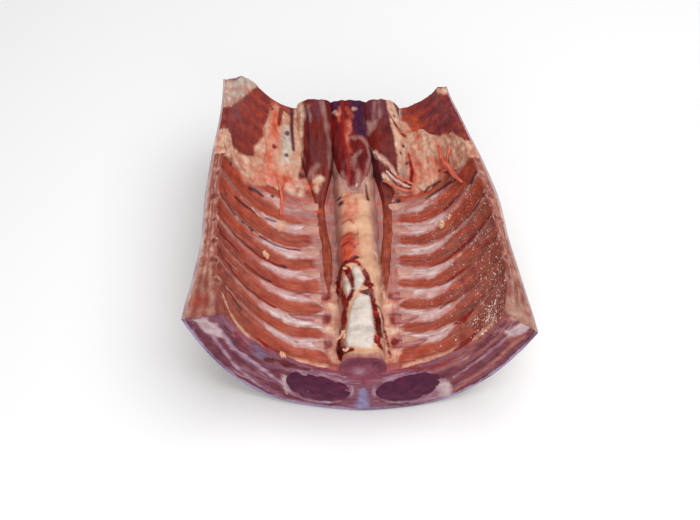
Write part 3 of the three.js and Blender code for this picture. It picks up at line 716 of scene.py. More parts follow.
def block(u, t, v, far_v, surface):
    """A closed block over the parameter box u x t x v: fine faces at t = 0, at both ends of u and of
    v, and at t = 1 a coarse one with rows only at the stations far_v. surface(u, t, v) gives the
    points. Returns points, faces, the parameters of each vertex, and each face's place as 0 near,
    1 first end of v, 2 rim, 3 far, 4 last end of v."""
    keep = np.zeros((len(u), len(t), len(v)), bool)
    keep[:, 0] = keep[0] = keep[-1] = True
    keep[:, :, 0] = keep[:, :, -1] = True
    keep[:, -1][:, far_v] = True
    ids = np.where(keep, np.cumsum(keep).reshape(keep.shape) - 1, -1)
    i, k, j = np.nonzero(keep)
    at = (u[i], t[k], v[j])

    def sheet(grid, turn):
        """The faces of a grid of vertex numbers, turned round where turn is -1."""
        return quads(grid[:-1, :-1], grid[:-1, 1:], grid[1:, 1:], grid[1:, :-1])[:, ::turn]

    far = ids[:, -1][:, far_v]
    parts = [sheet(ids[:, 0], -1), sheet(ids[:, :, 0], 1), sheet(ids[:, :, -1], -1), sheet(ids[0], -1),
             sheet(ids[-1], 1), sheet(far[1:-1], 1)]
    faces = [row for part in parts for row in part.tolist()]
    kinds = np.repeat([0, 1, 4, 2, 2, 3], [len(part) for part in parts]).tolist()
    for a, b in zip(far_v, far_v[1:]):
        left = ids[0, -1, a:b + 1].tolist()
        right = ids[-1, -1, a:b + 1].tolist()
        faces.append(left + [ids[1, -1, b], ids[1, -1, a]])
        faces.append(right[::-1] + [ids[-2, -1, a], ids[-2, -1, b]])
        kinds += [3, 3]
    return surface(*at), faces, at, np.array(kinds)


def bar(stations, ring, cap_rings, surface):
    """A closed bar: rings of vertices along stations, each cap closed by cap_rings smaller rings and a
    point. surface(angle, station, size) gives the points, size being 1 on the side and 0 at a cap's
    middle. Returns points, faces, (angle, station, size) of each vertex, and 0 side or 1 cap."""
    sizes = np.linspace(0, 1, cap_rings + 1)[1:-1]
    rows = np.concatenate([np.full(len(sizes), stations[0]), stations, np.full(len(sizes), stations[-1])])
    size = np.concatenate([sizes, np.ones(len(stations)), sizes[::-1]])
    angle = np.linspace(0, 2 * math.pi, ring, endpoint=False)
    a, s = np.meshgrid(angle, rows)
    z = np.repeat(size[:, None], ring, 1)
    a = np.append(a.ravel(), [0, 0])
    s = np.append(s.ravel(), [stations[0], stations[-1]])
    z = np.append(z.ravel(), [0, 0])
    ids = np.arange(len(rows) * ring).reshape(len(rows), ring)
    turned = np.roll(ids, -1, 1)
    first, last = len(rows) * ring, len(rows) * ring + 1
    faces = quads(ids[:-1], turned[:-1], turned[1:], ids[1:]).tolist()
    faces += np.stack([turned[0], ids[0], np.full(ring, first)], -1).tolist()
    faces += np.stack([ids[-1], turned[-1], np.full(ring, last)], -1).tolist()
    step = np.arange(len(rows) - 1)
    capped = (step < len(sizes)) | (step >= len(rows) - 1 - len(sizes))
    kinds = np.concatenate([np.repeat(capped, ring), np.ones(2 * ring)]).astype(int)
    return surface(a, s, z), faces, (a, s, z), kinds


def stretch_ends(points, v, bulge):
    """Moves the vertices of both cut ends outwards by bulge mm."""
    points[:, 1] += np.where(v == 1, bulge, 0) - np.where(v == 0, bulge, 0)
    return points


OVAL_POWER = 0.75


def oval(angle):
    """A full oval: cosine and sine of an angle, each raised to the power OVAL_POWER."""
    a, b = np.cos(angle), np.sin(angle)
    return np.sign(a) * np.abs(a) ** OVAL_POWER, np.sign(b) * np.abs(b) ** OVAL_POWER


# ---- Finishes ----

def rgb(red, green, blue):
    """A colour of the screen's 0 to 255 as the linear one that shaders take."""
    c = np.array([red, green, blue]) / 255
    return (*np.where(c < 0.04045, c / 12.92, ((c + 0.055) / 1.055) ** 2.4), 1.0)


def node(tree, kind, inputs=None, **settings):
    """Adds a node, sets it up, and links or sets its inputs."""
    made = tree.nodes.new(kind)
    for key, value in settings.items():
        setattr(made, key, value)
    for key, value in (inputs or {}).items():
        if isinstance(value, bpy.types.NodeSocket):
            tree.links.new(value, made.inputs[key])
        else:
            made.inputs[key].default_value = value
    return made


def new_group(name, takes, gives):
    """A shader node group with named sockets. takes maps a name to its first value."""
    group = bpy.data.node_groups.new(name, "ShaderNodeTree")
    for key, value in takes.items():
        kind = "NodeSocketColor" if isinstance(value, tuple) else "NodeSocketFloat"
        group.interface.new_socket(key, in_out="INPUT", socket_type=kind).default_value = value
    for key in gives:
        kind = "NodeSocketColor" if key == "Colour" else "NodeSocketFloat"
        group.interface.new_socket(key, in_out="OUTPUT", socket_type=kind)
    return group, group.nodes.new("NodeGroupInput").outputs, group.nodes.new("NodeGroupOutput").inputs


def noise(tree, size, detail=2.0, vector=None, distortion=0.0):
    """A noise whose features measure about size mm, or whose scale is a socket."""
    inputs = {"Scale": size if isinstance(size, bpy.types.NodeSocket) else 1 / (size * MM),
              "Detail": detail, "Distortion": distortion}
    inputs["Vector"] = vector or node(tree, "ShaderNodeTexCoord").outputs["Object"]
    return node(tree, "ShaderNodeTexNoise", inputs).outputs["Fac"]


def along_grain(tree, stretch):
    """The place in the flesh's grain, with lengths along the fibres divided by stretch."""
    lie = node(tree, "ShaderNodeAttribute", attribute_name="lie").outputs["Vector"]
    thin = node(tree, "ShaderNodeVectorMath", {0: lie, 1: (1 / stretch, 1, 1)}, operation="MULTIPLY")
    return thin.outputs[0]


def grain_noise(tree, size, stretch, detail=3.0):
    """A noise that follows the flesh's grain, stretch times as long along it as across."""
    return noise(tree, size, detail, along_grain(tree, stretch))


def maths(tree, operation, a, b=0.5, c=0.0, clamp=False):
    """One step of arithmetic."""
    return node(tree, "ShaderNodeMath", {0: a, 1: b, 2: c}, operation=operation, use_clamp=clamp).outputs[0]


def stretched(tree, value, low, high):
    """A number moved from low..high to 0..1."""
    return node(tree, "ShaderNodeMapRange", {0: value, 1: low, 2: high}).outputs[0]


def mix(tree, share, a, b):
    """A colour between a and b."""
    return node(tree, "ShaderNodeMix", {0: share, 6: a, 7: b}, data_type="RGBA").outputs[2]


def blend(tree, share, a, b):
    """A number between a and b."""
    return node(tree, "ShaderNodeMix", {0: share, 2: a, 3: b}, data_type="FLOAT").outputs[0]


GREY_START = (0.5, 0.5, 0.5, 1.0)  # a colour socket's value before one is given


def patch_group():
    """Lays one finish over another where a field in mm is above zero. Its edge is ragged by noise, its
    colour drifts between two shades along the grain, and it can stand up a little."""
    takes = {"Colour": GREY_START, "Roughness": 0.4, "Height": 0.0, "Field": 0.0, "Light": GREY_START,
             "Dark": GREY_START, "Ragged": 1.0, "Softness": 0.5, "Fineness": 400.0, "Streaky": 0.0,
             "Strength": 1.0, "Own Roughness": 0.4, "Rise": 0.0}
    group, get, put = new_group("patch", takes, ["Colour", "Roughness", "Height"])
    edge = blend(group, get["Streaky"], noise(group, get["Fineness"], 3.0), grain_noise(group, 2.0, 8.0))
    edge = maths(group, "SUBTRACT", edge, 0.5)
    edge = maths(group, "MULTIPLY", edge, maths(group, "MULTIPLY", get["Ragged"], 4.0))
    field = maths(group, "ADD", get["Field"], edge)
    share = maths(group, "MULTIPLY_ADD", maths(group, "DIVIDE", field, get["Softness"]), 0.5, 0.5, clamp=True)
    mask = maths(group, "MULTIPLY", share, get["Strength"], clamp=True)
    shade = blend(group, get["Streaky"], noise(group, 8.0, 3.0, distortion=0.5), grain_noise(group, 2.2, 6.0))
    drifted = mix(group, stretched(group, shade, 0.35, 0.65), get["Dark"], get["Light"])
    group.links.new(mix(group, mask, get["Colour"], drifted), put["Colour"])
    group.links.new(blend(group, mask, get["Roughness"], get["Own Roughness"]), put["Roughness"])
    rise = maths(group, "MULTIPLY", mask, get["Rise"])
    group.links.new(maths(group, "ADD", get["Height"], rise), put["Height"])
    return group


def flesh_group():
    """Raw muscle: two shades in soft blotches, with fine fibres along its grain."""
    group, get, put = new_group("flesh", {"Light": GREY_START, "Dark": GREY_START, "Fibre": 1.0},
                                ["Colour", "Height"])
    blotch = noise(group, 14.0, 3.0, distortion=0.4)
    fibre = maths(group, "ADD", grain_noise(group, 1.6, 14.0), grain_noise(group, 3.6, 12.0))
    fibre = maths(group, "MULTIPLY", maths(group, "SUBTRACT", fibre, 1.0), get["Fibre"])
    share = stretched(group, maths(group, "ADD", blotch, fibre), 0.3, 0.7)
    group.links.new(mix(group, share, get["Dark"], get["Light"]), put["Colour"])
    group.links.new(fibre, put["Height"])
    return group


def sinew_group():
    """Thin wavy lines along the grain, drawn over a colour where a slow noise crosses its middle."""
    takes = {"Colour": GREY_START, "Line": GREY_START, "Spacing": 200.0, "Width": 0.02, "Strength": 0.5}
    group, get, put = new_group("sinews", takes, ["Colour"])
    slow = noise(group, get["Spacing"], 1.0, along_grain(group, 16))
    off = maths(group, "ABSOLUTE", maths(group, "SUBTRACT", slow, 0.5))
    line = maths(group, "SUBTRACT", 1.0, maths(group, "DIVIDE", off, get["Width"]), clamp=True)
    fade = stretched(group, noise(group, 22.0, 2.0), 0.42, 0.6)
    mask = maths(group, "MULTIPLY", maths(group, "MULTIPLY", line, fade), get["Strength"])
    group.links.new(mix(group, mask, get["Colour"], get["Line"]), put["Colour"])
    return group


def moist_group():
    """The wet film's relief: soft dimples with finer ones in them, added to a height in mm."""
    group, get, put = new_group("moist", {"Height": 0.0, "Dimples": 0.3, "Grain": 0.1}, ["Height"])
    coarse = maths(group, "MULTIPLY", noise(group, 5.0, 2.0), get["Dimples"])
    fine = maths(group, "MULTIPLY", noise(group, 0.9, 2.0), get["Grain"])
    total = maths(group, "ADD", maths(group, "ADD", coarse, fine), get["Height"])
    group.links.new(total, put["Height"])
    return group


PATCH, FLESH, SINEWS, MOIST = patch_group(), flesh_group(), sinew_group(), moist_group()
MATERIALS = {}
COAT_WEIGHT, COAT_ROUGHNESS, SPECULAR, FIBRE_RELIEF, GRAIN = 0.1, 0.14, 0.2, 0.3, 0.1


def material(name):
    """A new empty node material and its tree."""
    made = bpy.data.materials.new(name)
    made.use_nodes = True
    made.node_tree.nodes.clear()
    return made, made.node_tree


def layered(name, light, dark, layers, fibre=0.6, roughness=0.5, gloss=1.0, dimples=0.3, sinews=()):
    """Muscle in two shades of 0 to 255, with layers over it and a thin wet film on top, whose gloss the
    number gloss multiplies. A layer is a field's name and the patch group's inputs. Sinews are drawn after
    the layer
    whose field they name: its name, their shade, spacing in mm, width and strength."""
    made, tree = material(name)
    flesh = node(tree, "ShaderNodeGroup", {"Light": rgb(*light), "Dark": rgb(*dark), "Fibre": fibre},
                 node_tree=FLESH)
    colour, rough = flesh.outputs["Colour"], roughness
    height = maths(tree, "MULTIPLY", flesh.outputs["Height"], FIBRE_RELIEF)
    for field, own_inputs in layers:
        value = node(tree, "ShaderNodeAttribute", attribute_name=field).outputs["Fac"]
        under = {"Colour": colour, "Roughness": rough, "Height": height, "Field": value}
        put = node(tree, "ShaderNodeGroup", {**under, **own_inputs}, node_tree=PATCH)
        colour, rough, height = put.outputs
        for after, shade, spacing, width, strength in sinews:
            if after == field:
                inputs = {"Colour": colour, "Line": rgb(*shade), "Spacing": 1 / (spacing * MM),
                          "Width": width, "Strength": strength}
                colour = node(tree, "ShaderNodeGroup", inputs, node_tree=SINEWS).outputs["Colour"]
    moist = node(tree, "ShaderNodeGroup", {"Height": height, "Dimples": dimples, "Grain": GRAIN},
                 node_tree=MOIST)
    bump = node(tree, "ShaderNodeBump", {"Height": moist.outputs[0], "Distance": MM, "Strength": 1.0})
    shader = node(tree, "ShaderNodeBsdfPrincipled", {
        "Base Color": colour, "Roughness": rough, "Normal": bump.outputs[0],
        "Coat Weight": COAT_WEIGHT * gloss, "Coat Roughness": COAT_ROUGHNESS,
        "Specular IOR Level": SPECULAR * gloss})
    node(tree, "ShaderNodeOutputMaterial", {0: shader.outputs[0]})
    MATERIALS[name] = made


def layer(field, light, dark, ragged=1.0, soft=1.0, strength=1.0, rough=0.48, rise=0.0, size=2.5,
          streaky=0.0):
    """One layer's description: shades of 0 to 255, raggedness, softness and rise in mm, the size in mm of
    the notches in its edge, and how far these follow the grain instead, from 0 to 1."""
    return field, {"Light": rgb(*light), "Dark": rgb(*dark), "Ragged": ragged, "Softness": soft,
                   "Strength": strength, "Own Roughness": rough, "Rise": rise, "Fineness": 1 / (size * MM),
                   "Streaky": streaky}


DULL = layer("dull", (142, 84, 70), (108, 58, 54), 3.0, 12.0, 0.9, size=8)
BONE_BANDS = [
    layer("rib", (182, 134, 126), (162, 108, 100), 0.4, 1.8, 0.95, streaky=1),
    # A painted highlight, lilac-white, down the middle of the rib bands.
    layer("painted_highlight", (214, 196, 192), (184, 154, 156), 0.5, 2.0, 1.0, 0.42, streaky=1),
    layer("lens", (180, 126, 124), (146, 84, 88), 0.4, 1.2, 0.75, streaky=1),
    layer("lens_edge", (112, 38, 48), (84, 24, 36), 0.2, 1.2, 0.95, streaky=1),
    # The ribs' dark edges: partly the flesh's own purple line, partly painted shade beside the raised rib.
    layer("edge", (112, 52, 58), (84, 34, 44), 0.4, 1.0, 0.8, streaky=1),
    # The notches between the rib heads: dark red, partly painted shade.
    layer("red_notch_and_shade", (120, 32, 28), (86, 18, 20), 0.6, 2.0, 0.95),
]
# Painted glints: near-white painted highlights on the right wall.
PAINTED_GLINTS = layer("painted_glints", (244, 230, 222), (212, 180, 166), 5.0, 0.5, 0.95, 0.36, 0.15, 1.8)
OVERLAYS = [
    layer("fascia", (174, 132, 126), (146, 100, 94), 0.8, 2.4, 0.85, 0.44, 0.05, streaky=0.6),
    layer("flank", (122, 46, 42), (104, 38, 38), 0.6, 1.2, streaky=0.2),
    layer("rust", (136, 50, 36), (118, 42, 34), 3.0, 12.0, 0.6, size=7),
    layer("bruise", (104, 44, 54), (84, 34, 50), 3.0, 10.0, 0.85, size=6),
    layer("lip", (150, 82, 92), (118, 56, 70), 1.5, 4.0, 0.85),
    layer("cream", (220, 192, 166), (184, 120, 96), 1.2, 1.8, 0.95, 0.46, 0.1, 4, 0.3),
    layer("salmon", (206, 130, 106), (186, 92, 70), 4.0, 5.0, 0.75, size=7),
    layer("grey", (198, 184, 168), (160, 142, 138), 1.2, 2.4, 0.9, 0.4, 0.0, 4),
    layer("orange", (200, 96, 60), (178, 62, 38), 1.2, 3.0, 0.85, 0.36, 0.0, 3),
    layer("stain", (196, 76, 42), (166, 42, 24), 1.6, 4.0, 0.95, size=4),
    layer("pink", (206, 118, 100), (180, 84, 70), 1.0, 1.6, 0.85, 0.36, 0.1),
    layer("red", (138, 26, 24), (106, 16, 20), 0.35, 1.0, 0.95, 0.34, -0.1, streaky=0.5),
    layer("blood", (142, 18, 14), (64, 8, 10), 0.9, 0.8, 1.0, 0.28, -0.2),
    layer("white", (214, 202, 192), (190, 174, 166), 0.7, 0.8, 1.0, 0.46, 0.3),
    layer("dark", (82, 28, 36), (48, 14, 24), 0.25, 1.0, 0.95, 0.34, -0.2, streaky=0.5),
]
FATTY_OVERLAYS = OVERLAYS[6:]
# The rib-end cut's colours here are the meat's own reds, pinks and pale seams with a painted blue-purple
# shade laid over them; SEAM also serves the loin-end cut.
SEAM = layer("seam", (186, 154, 172), (152, 114, 136), 0.6, 1.2, 0.95)
CUT_LAYERS = [
    layer("brown", (156, 84, 74), (128, 58, 54), 4.0, 24.0, 0.95, size=8),
    layer("body", (150, 66, 78), (112, 40, 60), 1.4, 5.0, 0.9, size=4),
    layer("muscle", (120, 50, 62), (90, 30, 50), 0.8, 1.4, 0.95),
    layer("tan", (182, 116, 100), (150, 82, 74), 0.8, 1.6, 0.8),
    SEAM,
    layer("pale", (204, 180, 180), (178, 146, 152), 1.0, 1.8, 0.95),
    layer("blue", (146, 142, 178), (122, 110, 150), 1.0, 2.0, 0.9),
    layer("slate", (124, 102, 126), (100, 80, 106), 1.0, 3.0, 0.9),
    layer("scarlet", (152, 44, 40), (120, 28, 34), 0.9, 1.6, 0.9),
    layer("clot", (112, 14, 22), (72, 8, 16), 0.9, 1.2, 1.0, 0.34),
]


def make_materials():
    """Every finish, into MATERIALS by name."""
    # The lining's layers hold painted shade at the ribs' dark edges and the red notches, a painted highlight
    # down the ribs, and painted glints on the right wall.
    layered("lining", (160, 78, 56), (126, 52, 40), [DULL, *BONE_BANDS, *OVERLAYS, PAINTED_GLINTS], sinews=[
        ("dull", (182, 126, 112), 4.0, 0.035, 0.6), ("painted_highlight", (100, 40, 44), 6.0, 0.016, 0.7),
        ("flank", (150, 88, 80), 9.0, 0.02, 0.35)])
    # The rib-end cut: the meat's own colours with a painted blue-purple shade over them.
    layered("cut", (144, 86, 100), (112, 58, 78), CUT_LAYERS, fibre=0.5, gloss=0.6, sinews=[
        ("muscle", (178, 134, 152), 5.0, 0.03, 0.75), ("tan", (84, 24, 38), 7.0, 0.02, 0.6)])
    layered("far_cut", (132, 60, 64), (102, 42, 50), [SEAM], fibre=0.4, gloss=0.4)
    layered("rim", (156, 88, 74), (126, 62, 54), [
        layer("late", (120, 56, 54), (92, 36, 44), 3.0, 24.0, 0.9, size=6),
        layer("streak", (196, 156, 138), (168, 120, 104), 1.2, 2.0, 0.9, size=3),
        layer("bone", (192, 142, 126), (160, 100, 88), 1.6, 2.6, 0.7, size=3),
        layer("stain", (166, 56, 38), (132, 36, 28), 1.6, 2.4, 0.8, size=3),
        layer("marrow", (124, 30, 30), (84, 18, 24), 1.4, 1.6, 0.85)], fibre=0.8)
    layered("fat", (200, 182, 178), (176, 150, 154), [
        layer("lean", (154, 92, 96), (130, 70, 78), 4.0, 10.0, 0.55, size=8)], fibre=0.2, roughness=0.44)
    # The outer fat on the rib-end cut: the fat's own colour with a painted blue-lilac shade, a shaded copy of
    # the fat above.
    layered("fat_cut_in_painted_shade", (168, 150, 180), (136, 114, 154), [
        layer("lean", (110, 60, 92), (84, 40, 72), 2.0, 3.0, 0.8, size=4)], fibre=0.3)
    # The loin eye: its own dark red with the painted blue-purple shade of the rib-end cut, on both its ends.
    layered("eye", (94, 32, 62), (68, 20, 48), [
        layer("fleck", (170, 116, 134), (136, 82, 104), 3.0, 0.8, 0.6, size=1.3)],
        fibre=0.3, gloss=0.35, dimples=0.1)
    layered("backbone", (212, 170, 138), (194, 138, 108), OVERLAYS, fibre=0.3)
    layered("spongy", (144, 72, 88), (110, 46, 64), [
        layer("arch", (100, 40, 56), (76, 28, 44), 1.5, 4.0, 0.8, size=3),
        layer("pale", (170, 128, 144), (140, 94, 112), 1.5, 4.0, 0.8, size=3)],
        fibre=0.5, gloss=0.4, dimples=0.5)
    layered("fillet", (114, 28, 18), (82, 14, 12), [
        layer("strip", (152, 72, 48), (120, 48, 36), 2.0, 20.0),
        layer("top", (114, 60, 70), (80, 30, 48), 1.6, 5.0, 0.7, size=4, streaky=0.4), *OVERLAYS],
        fibre=0.7, gloss=0.7)
    layered("pillar", (118, 22, 18), (84, 10, 14), [
        layer("purple", (72, 22, 58), (46, 10, 42), 1.6, 3.0, 0.95, size=4), *OVERLAYS], fibre=0.7, gloss=0.7)
    layered("kidney_fat", (206, 172, 148), (186, 128, 104), [
        layer("mottle", (192, 104, 82), (170, 76, 60), 5.0, 3.0, 0.7, size=5), *FATTY_OVERLAYS], fibre=0.35)
    layered("bone", (196, 150, 136), (168, 112, 98), [
        layer("marrow", (110, 30, 28), (78, 18, 20), 1.2, 1.8, 0.9, 0.34, -0.2)], fibre=0.3)
    layered("strand", (218, 130, 106), (186, 80, 60), [], fibre=0.8)
    layered("sinew", (214, 178, 168), (186, 126, 116), [], fibre=0.8)
    layered("fleck", (226, 188, 160), (206, 146, 118), [], fibre=0.5)


make_materials()


# ---- The wall: lean meat between the lining and the outer fat, from rim to rim ----
WALL_ACROSS, WALL_ALONG, WALL_DEEP, FAR_STEP = 268, 252, 24, 18
HIDDEN_SHARE = 0.1  # the share of u on each side of the midline that the backbone hides
BONE_REACH = 0.19  # the share of u within which the grain runs along the backbone
EDGE_ROUND, EDGE_REACH = 0.9, 1.1
RIM_ROUND, RIM_ROUND_REACH = 2.4, 4.0
HORN_OUT, HORN_AT, HORN_WIDTH, HORN_BACK, HORN_BACK_FROM = 6.0, 0.74, 0.12, 13.0, 0.85
FAR_SHEETS = [(0.3, 1.6), (0.58, 1.3), (0.84, 1.0)]  # share of the depth and half the thickness in mm
RIM_STREAKS = [(1.5, 0.36), (1.2, 0.64), (2.4, 0.97)]  # half the width in mm and share of the depth
RIM_MM = 24.0  # thickness of a rim, about
FLANK_RIM_FROM = 0.66  # from this v on, a rim looks like the lining


def across_stations(count, slow):
    """u from -1 to 1, with the share slow of the middle that the backbone hides crossed in few steps."""
    half = slow + (1 - slow) * np.linspace(0, 1, (count - 4) // 2 + 1)
    right = np.concatenate([np.linspace(0, slow, 3)[:-1], half])
    return np.concatenate([-right[:0:-1], right])


def cut_edge(distance):
    """How far a cut edge is rounded off: an exponential of the distance from it."""
    return EDGE_ROUND * np.exp(-np.maximum(distance, 0) / EDGE_REACH)


def round_rim(distance, v):
    """How far a rim is rounded off at a distance from it: a cut edge, and more on the flanks' thin rims."""
    return cut_edge(distance) + RIM_ROUND * smooth(v, 0.64, 0.74) * np.exp(
        -np.maximum(distance, 0) / RIM_ROUND_REACH)


def horn(points, u, v):
    """Moves the left flank's end out by HORN_OUT over a bump beside its tip, and back by HORN_BACK at the
    rim."""
    bump = HORN_OUT * np.exp(-((np.abs(u) - HORN_AT) / HORN_WIDTH) ** 2)
    points[:, 1] += smooth(v, 0.8, 1) * (u < 0) * (bump - HORN_BACK * smooth(np.abs(u), HORN_BACK_FROM, 1))
    return points


def seam_field(u, depth, v):
    """Pale seams in the loin-end cut: sheets between muscle layers that follow the wall's curve, and a
    ring round the eye of the loin, in mm."""
    x, z = in_wall(u, depth, v)
    thick = wall_thickness(u, v)
    w = np.abs(u)
    sheets = [half - np.abs(depth - (share + 0.04 * np.sin(6 * w)) * thick) for share, half in FAR_SHEETS]
    sheet = most(*sheets) - 8 * (1 - smooth(w, 0.46, 0.56))
    middle = 4 - 0.12 * np.abs(z - 10) - np.abs(x)
    return most(sheet, eye_ring(x, z), middle) + 0.5 * waves((x, z), 9, 30)


def rim_fields(u, t, v):
    """Every field of the rims, by name: pale streaks along them, the ribs' sawn marrow with bone round it,
    a darker loin end and an orange-red stain near the rib end."""
    length = v * LENGTH
    at = (length, t * RIM_MM)
    share = t + 0.03 * waves((length,), 40, 42)
    offset, number = nearest_rib(u, v)
    own = quirk(number, u, 2.1)
    across = t * (wall_thickness(u, v) - along(FAT, v)) - 3.4 - 0.8 * own
    marrow = 2.6 + 0.7 * own - np.hypot(offset * 0.8, across)
    streak = most(*(half - np.abs(share - middle) * RIM_MM for half, middle in RIM_STREAKS))
    pale_corner = 4 - np.hypot(length - 10, (share - 0.5) * 20) * 0.4
    streak = most(streak, np.where(u > 0, pale_corner, NOWHERE))
    stained_corner = 3 - np.hypot(length - 20, (share - 0.75) * RIM_MM) * 0.4
    return {
        "streak": streak + 0.9 * waves(at, 16, 43) - 3 * smooth(v, 0.6, 0.75),
        "bone": marrow + 2.4 + 0.6 * waves(at, 7, 45) - 8 * smooth(v, 0.62, 0.7),
        "marrow": marrow + 0.6 * waves(at, 5, 46) - 1.2 * smooth(v, 0.5, 0.6),
        "stain": most(np.where(u < 0, stained_corner, NOWHERE), 1.5 * waves(at, 12, 44) - 2.4),
        "late": (v - 0.68) * LENGTH + 5 * waves((length,), 30, 47),
    }


def wall_surface(u, t, v):
    """The wall's outside: in_wall at depth t of the way to the outer fat, with the inside's relief on
    the lining, bulges on the cut faces, where muscles swell, and rounded edges."""
    full = wall_thickness(u, v) - along(FAT, v) + 0.2
    arc = (1 - np.abs(u)) * ARC_MM
    ends = cut_edge(v * LENGTH) + cut_edge((1 - v) * LENGTH) + round_rim(arc, v)
    depth = t * full + np.where(t == 0, ends - inside_relief(u, v), 0)
    x, z = in_wall(u, depth, v)
    bulge = 0.45 * waves((x, z), 17, 21) + 0.2 * waves((x, z), 6, 22) - cut_edge(t * full) - cut_edge(arc)
    points = stretch_ends(horn(place(x, z, v), u, v), v, bulge)
    rough = 0.5 * waves((t * full, v * LENGTH), 14, 40) + 0.3 * waves((t * full, v * LENGTH), 5, 41)
    rim = np.where(np.abs(u) == 1, rough - round_rim(t * full, v), 0)
    points[:, 0] += np.sign(u) * rim * 0.3
    points[:, 2] += rim
    return points


def make_wall():
    """The wall with its lining, its two cut ends and its two rims."""
    u = across_stations(WALL_ACROSS, HIDDEN_SHARE)
    v = np.linspace(0, 1, WALL_ALONG + 1)
    t = np.linspace(0, 1, WALL_DEEP + 1) ** 1.1
    far_v = np.arange(0, WALL_ALONG + 1, FAR_STEP)
    points, faces, (pu, pt, pv), kinds = block(u, t, v, far_v, wall_surface)
    depth = pt * (wall_thickness(pu, pv) - along(FAT, pv))
    front = cut_fields(*in_wall(pu, depth, pv))
    seam = np.where(pv < 0.5, front["seam"], seam_field(pu, depth, pv))
    fields = {**inside_fields(pu, pv), **front, "seam": seam, **rim_fields(pu, pt, pv)}
    arc, length = flat(pu, pv)
    on_lining, on_rim, on_bone = pt == 0, np.abs(pu) == 1, np.abs(pu) < BONE_REACH
    kinds[(kinds == 2) & (pv[[face[0] for face in faces]] > FLANK_RIM_FROM)] = 0
    along_bone = (on_rim & ~on_lining) | (on_lining & on_bone)
    across_grain = np.where(on_lining, np.where(on_bone, arc, length - rib_line(np.abs(pu))), depth)
    lie = (np.where(along_bone, length, arc), across_grain, depth * 0)
    own(piece("meat_wall", points, faces, ["lining", "cut", "rim", "far_cut", "far_cut"], fields, kinds, lie),
        "lean_meat", "meat")


def skin_surface(u, t, v):
    """The outer fat: in_wall at the skin where t = 0 and a fat's thickness inside it where t = 1, with soft
    lumps and rounded edges."""
    arc = (1 - np.abs(u)) * SKIN_ARC_MM
    across, length = u * SKIN_ARC_MM, v * LENGTH
    lumps = 0.5 + 0.45 * waves((across, length), 34, 50) + 0.2 * waves((across, length), 12, 51)
    edges = cut_edge(length) + cut_edge(LENGTH - length) + cut_edge(arc)
    depth = wall_thickness(u, v) - t * along(FAT, v) - np.where(t == 0, edges + np.maximum(lumps, 0), 0)
    x, z = in_wall(u, depth, v)
    return horn(place(x, np.maximum(z, 0), v), u, v)


def make_fat_cap():
    """The outer fat under and around the wall."""
    points, faces, (u, _, v), kinds = block(np.linspace(-1, 1, 221), np.linspace(0, 1, 5),
                                            np.linspace(0, 1, 201), np.arange(0, 201, 20), skin_surface)
    fields = {"lean": 6 * waves((u * SKIN_ARC_MM, v * LENGTH), 70, 52) - 3}
    # The rib-end cut of the outer fat takes the fat's colour with painted blue-lilac shade.
    own(piece("fat_cap_skin", points, faces, ["fat", "fat_cut_in_painted_shade"], fields, (kinds == 1).astype(int)),
        "outer_fat", "fat_cap")


# ---- The backbone ----
BONE_WAIST, BONE_SPINE = 0.05, 11.0
LINING_ONLY = ("flank", "bruise", "grey")
FASCIA_FROM_X = 12.5


def without(fields, keys):
    """Moves the fields named by keys far below zero."""
    for key in keys:
        fields[key] = fields[key] - 20
    return fields


def backbone_profile(angle, v, size):
    """A keyhole: over the floor a round-shouldered ridge, powers of the angle's sine and cosine, below it a
    narrowing foot and the spine. A cosine of v narrows it between the vertebrae."""
    s = np.sin(angle)
    c = np.cos(angle)
    waist = 1 + BONE_WAIST * np.cos(2 * math.pi * v * LENGTH / BONE_PITCH)
    x = BONE_HALF_WIDTH * waist * np.sign(s) * np.abs(s) ** 0.55
    up = along(BONE_RISE, v) * waist * np.abs(c) ** 0.75 * (1 - 0.12 * np.abs(s) ** 6)
    down = -BONE_SPINE * np.abs(c) ** 0.8
    return x * size, np.where(c > 0, up, down) * size


def backbone_surface(angle, v, size):
    """The ridge with its own relief: white slabs stand up, the blood between them lies deeper."""
    x, z = backbone_profile(angle, v, size)
    side = (size == 1) & (np.cos(angle) > 0)
    length = v * LENGTH
    fields = inside_fields(across_of(x, v), v)
    relief = 0.45 * waves((x, length), 15, 60) + 0.2 * waves((x, length), 6, 61)
    relief += 1.2 * smooth(fields["white"], -0.8, 1.2) - 1.2 * smooth(fields["blood"], -1, 1.5)
    relief -= 0.8 * smooth(fields["dark"], -1, 1)
    z = z + np.where(side, relief * np.maximum(np.cos(angle), 0) ** 0.5, 0)
    bulge = 0.8 * (1 - size ** 2) + 0.3 * waves((x, z), 7, 62) * (size < 1)
    return stretch_ends(place(x, along(FLOOR, v) + z, v), v, bulge)


def make_backbone():
    """The ridge of the backbone with its two spongy ends."""
    points, faces, (a, v, size), kinds = bar(np.linspace(0, 1, 271), 120, 14, backbone_surface)
    x, z = backbone_profile(a, v, size)
    fields = without(inside_fields(across_of(x, v), v), LINING_ONLY)
    beside_ridge = np.abs(x) - FASCIA_FROM_X + waves((x, v * LENGTH), 14, 64)
    fields["fascia"] = most(fields["fascia"], beside_ridge + OUTSIDE * (1 - smooth(v, 0.28, 0.36)))
    fields["arch"] = 3 - np.abs(np.hypot(x, z - 4) - 15) - 6 * smooth(-z, -10, 0)
    fields["pale"] = 5 - np.hypot(x + 3, z - 3)
    own(piece("backbone_ridge", points, faces, ["backbone", "spongy"], fields, kinds, (v * LENGTH, x, z)),
        "backbone_bone", "backbone")


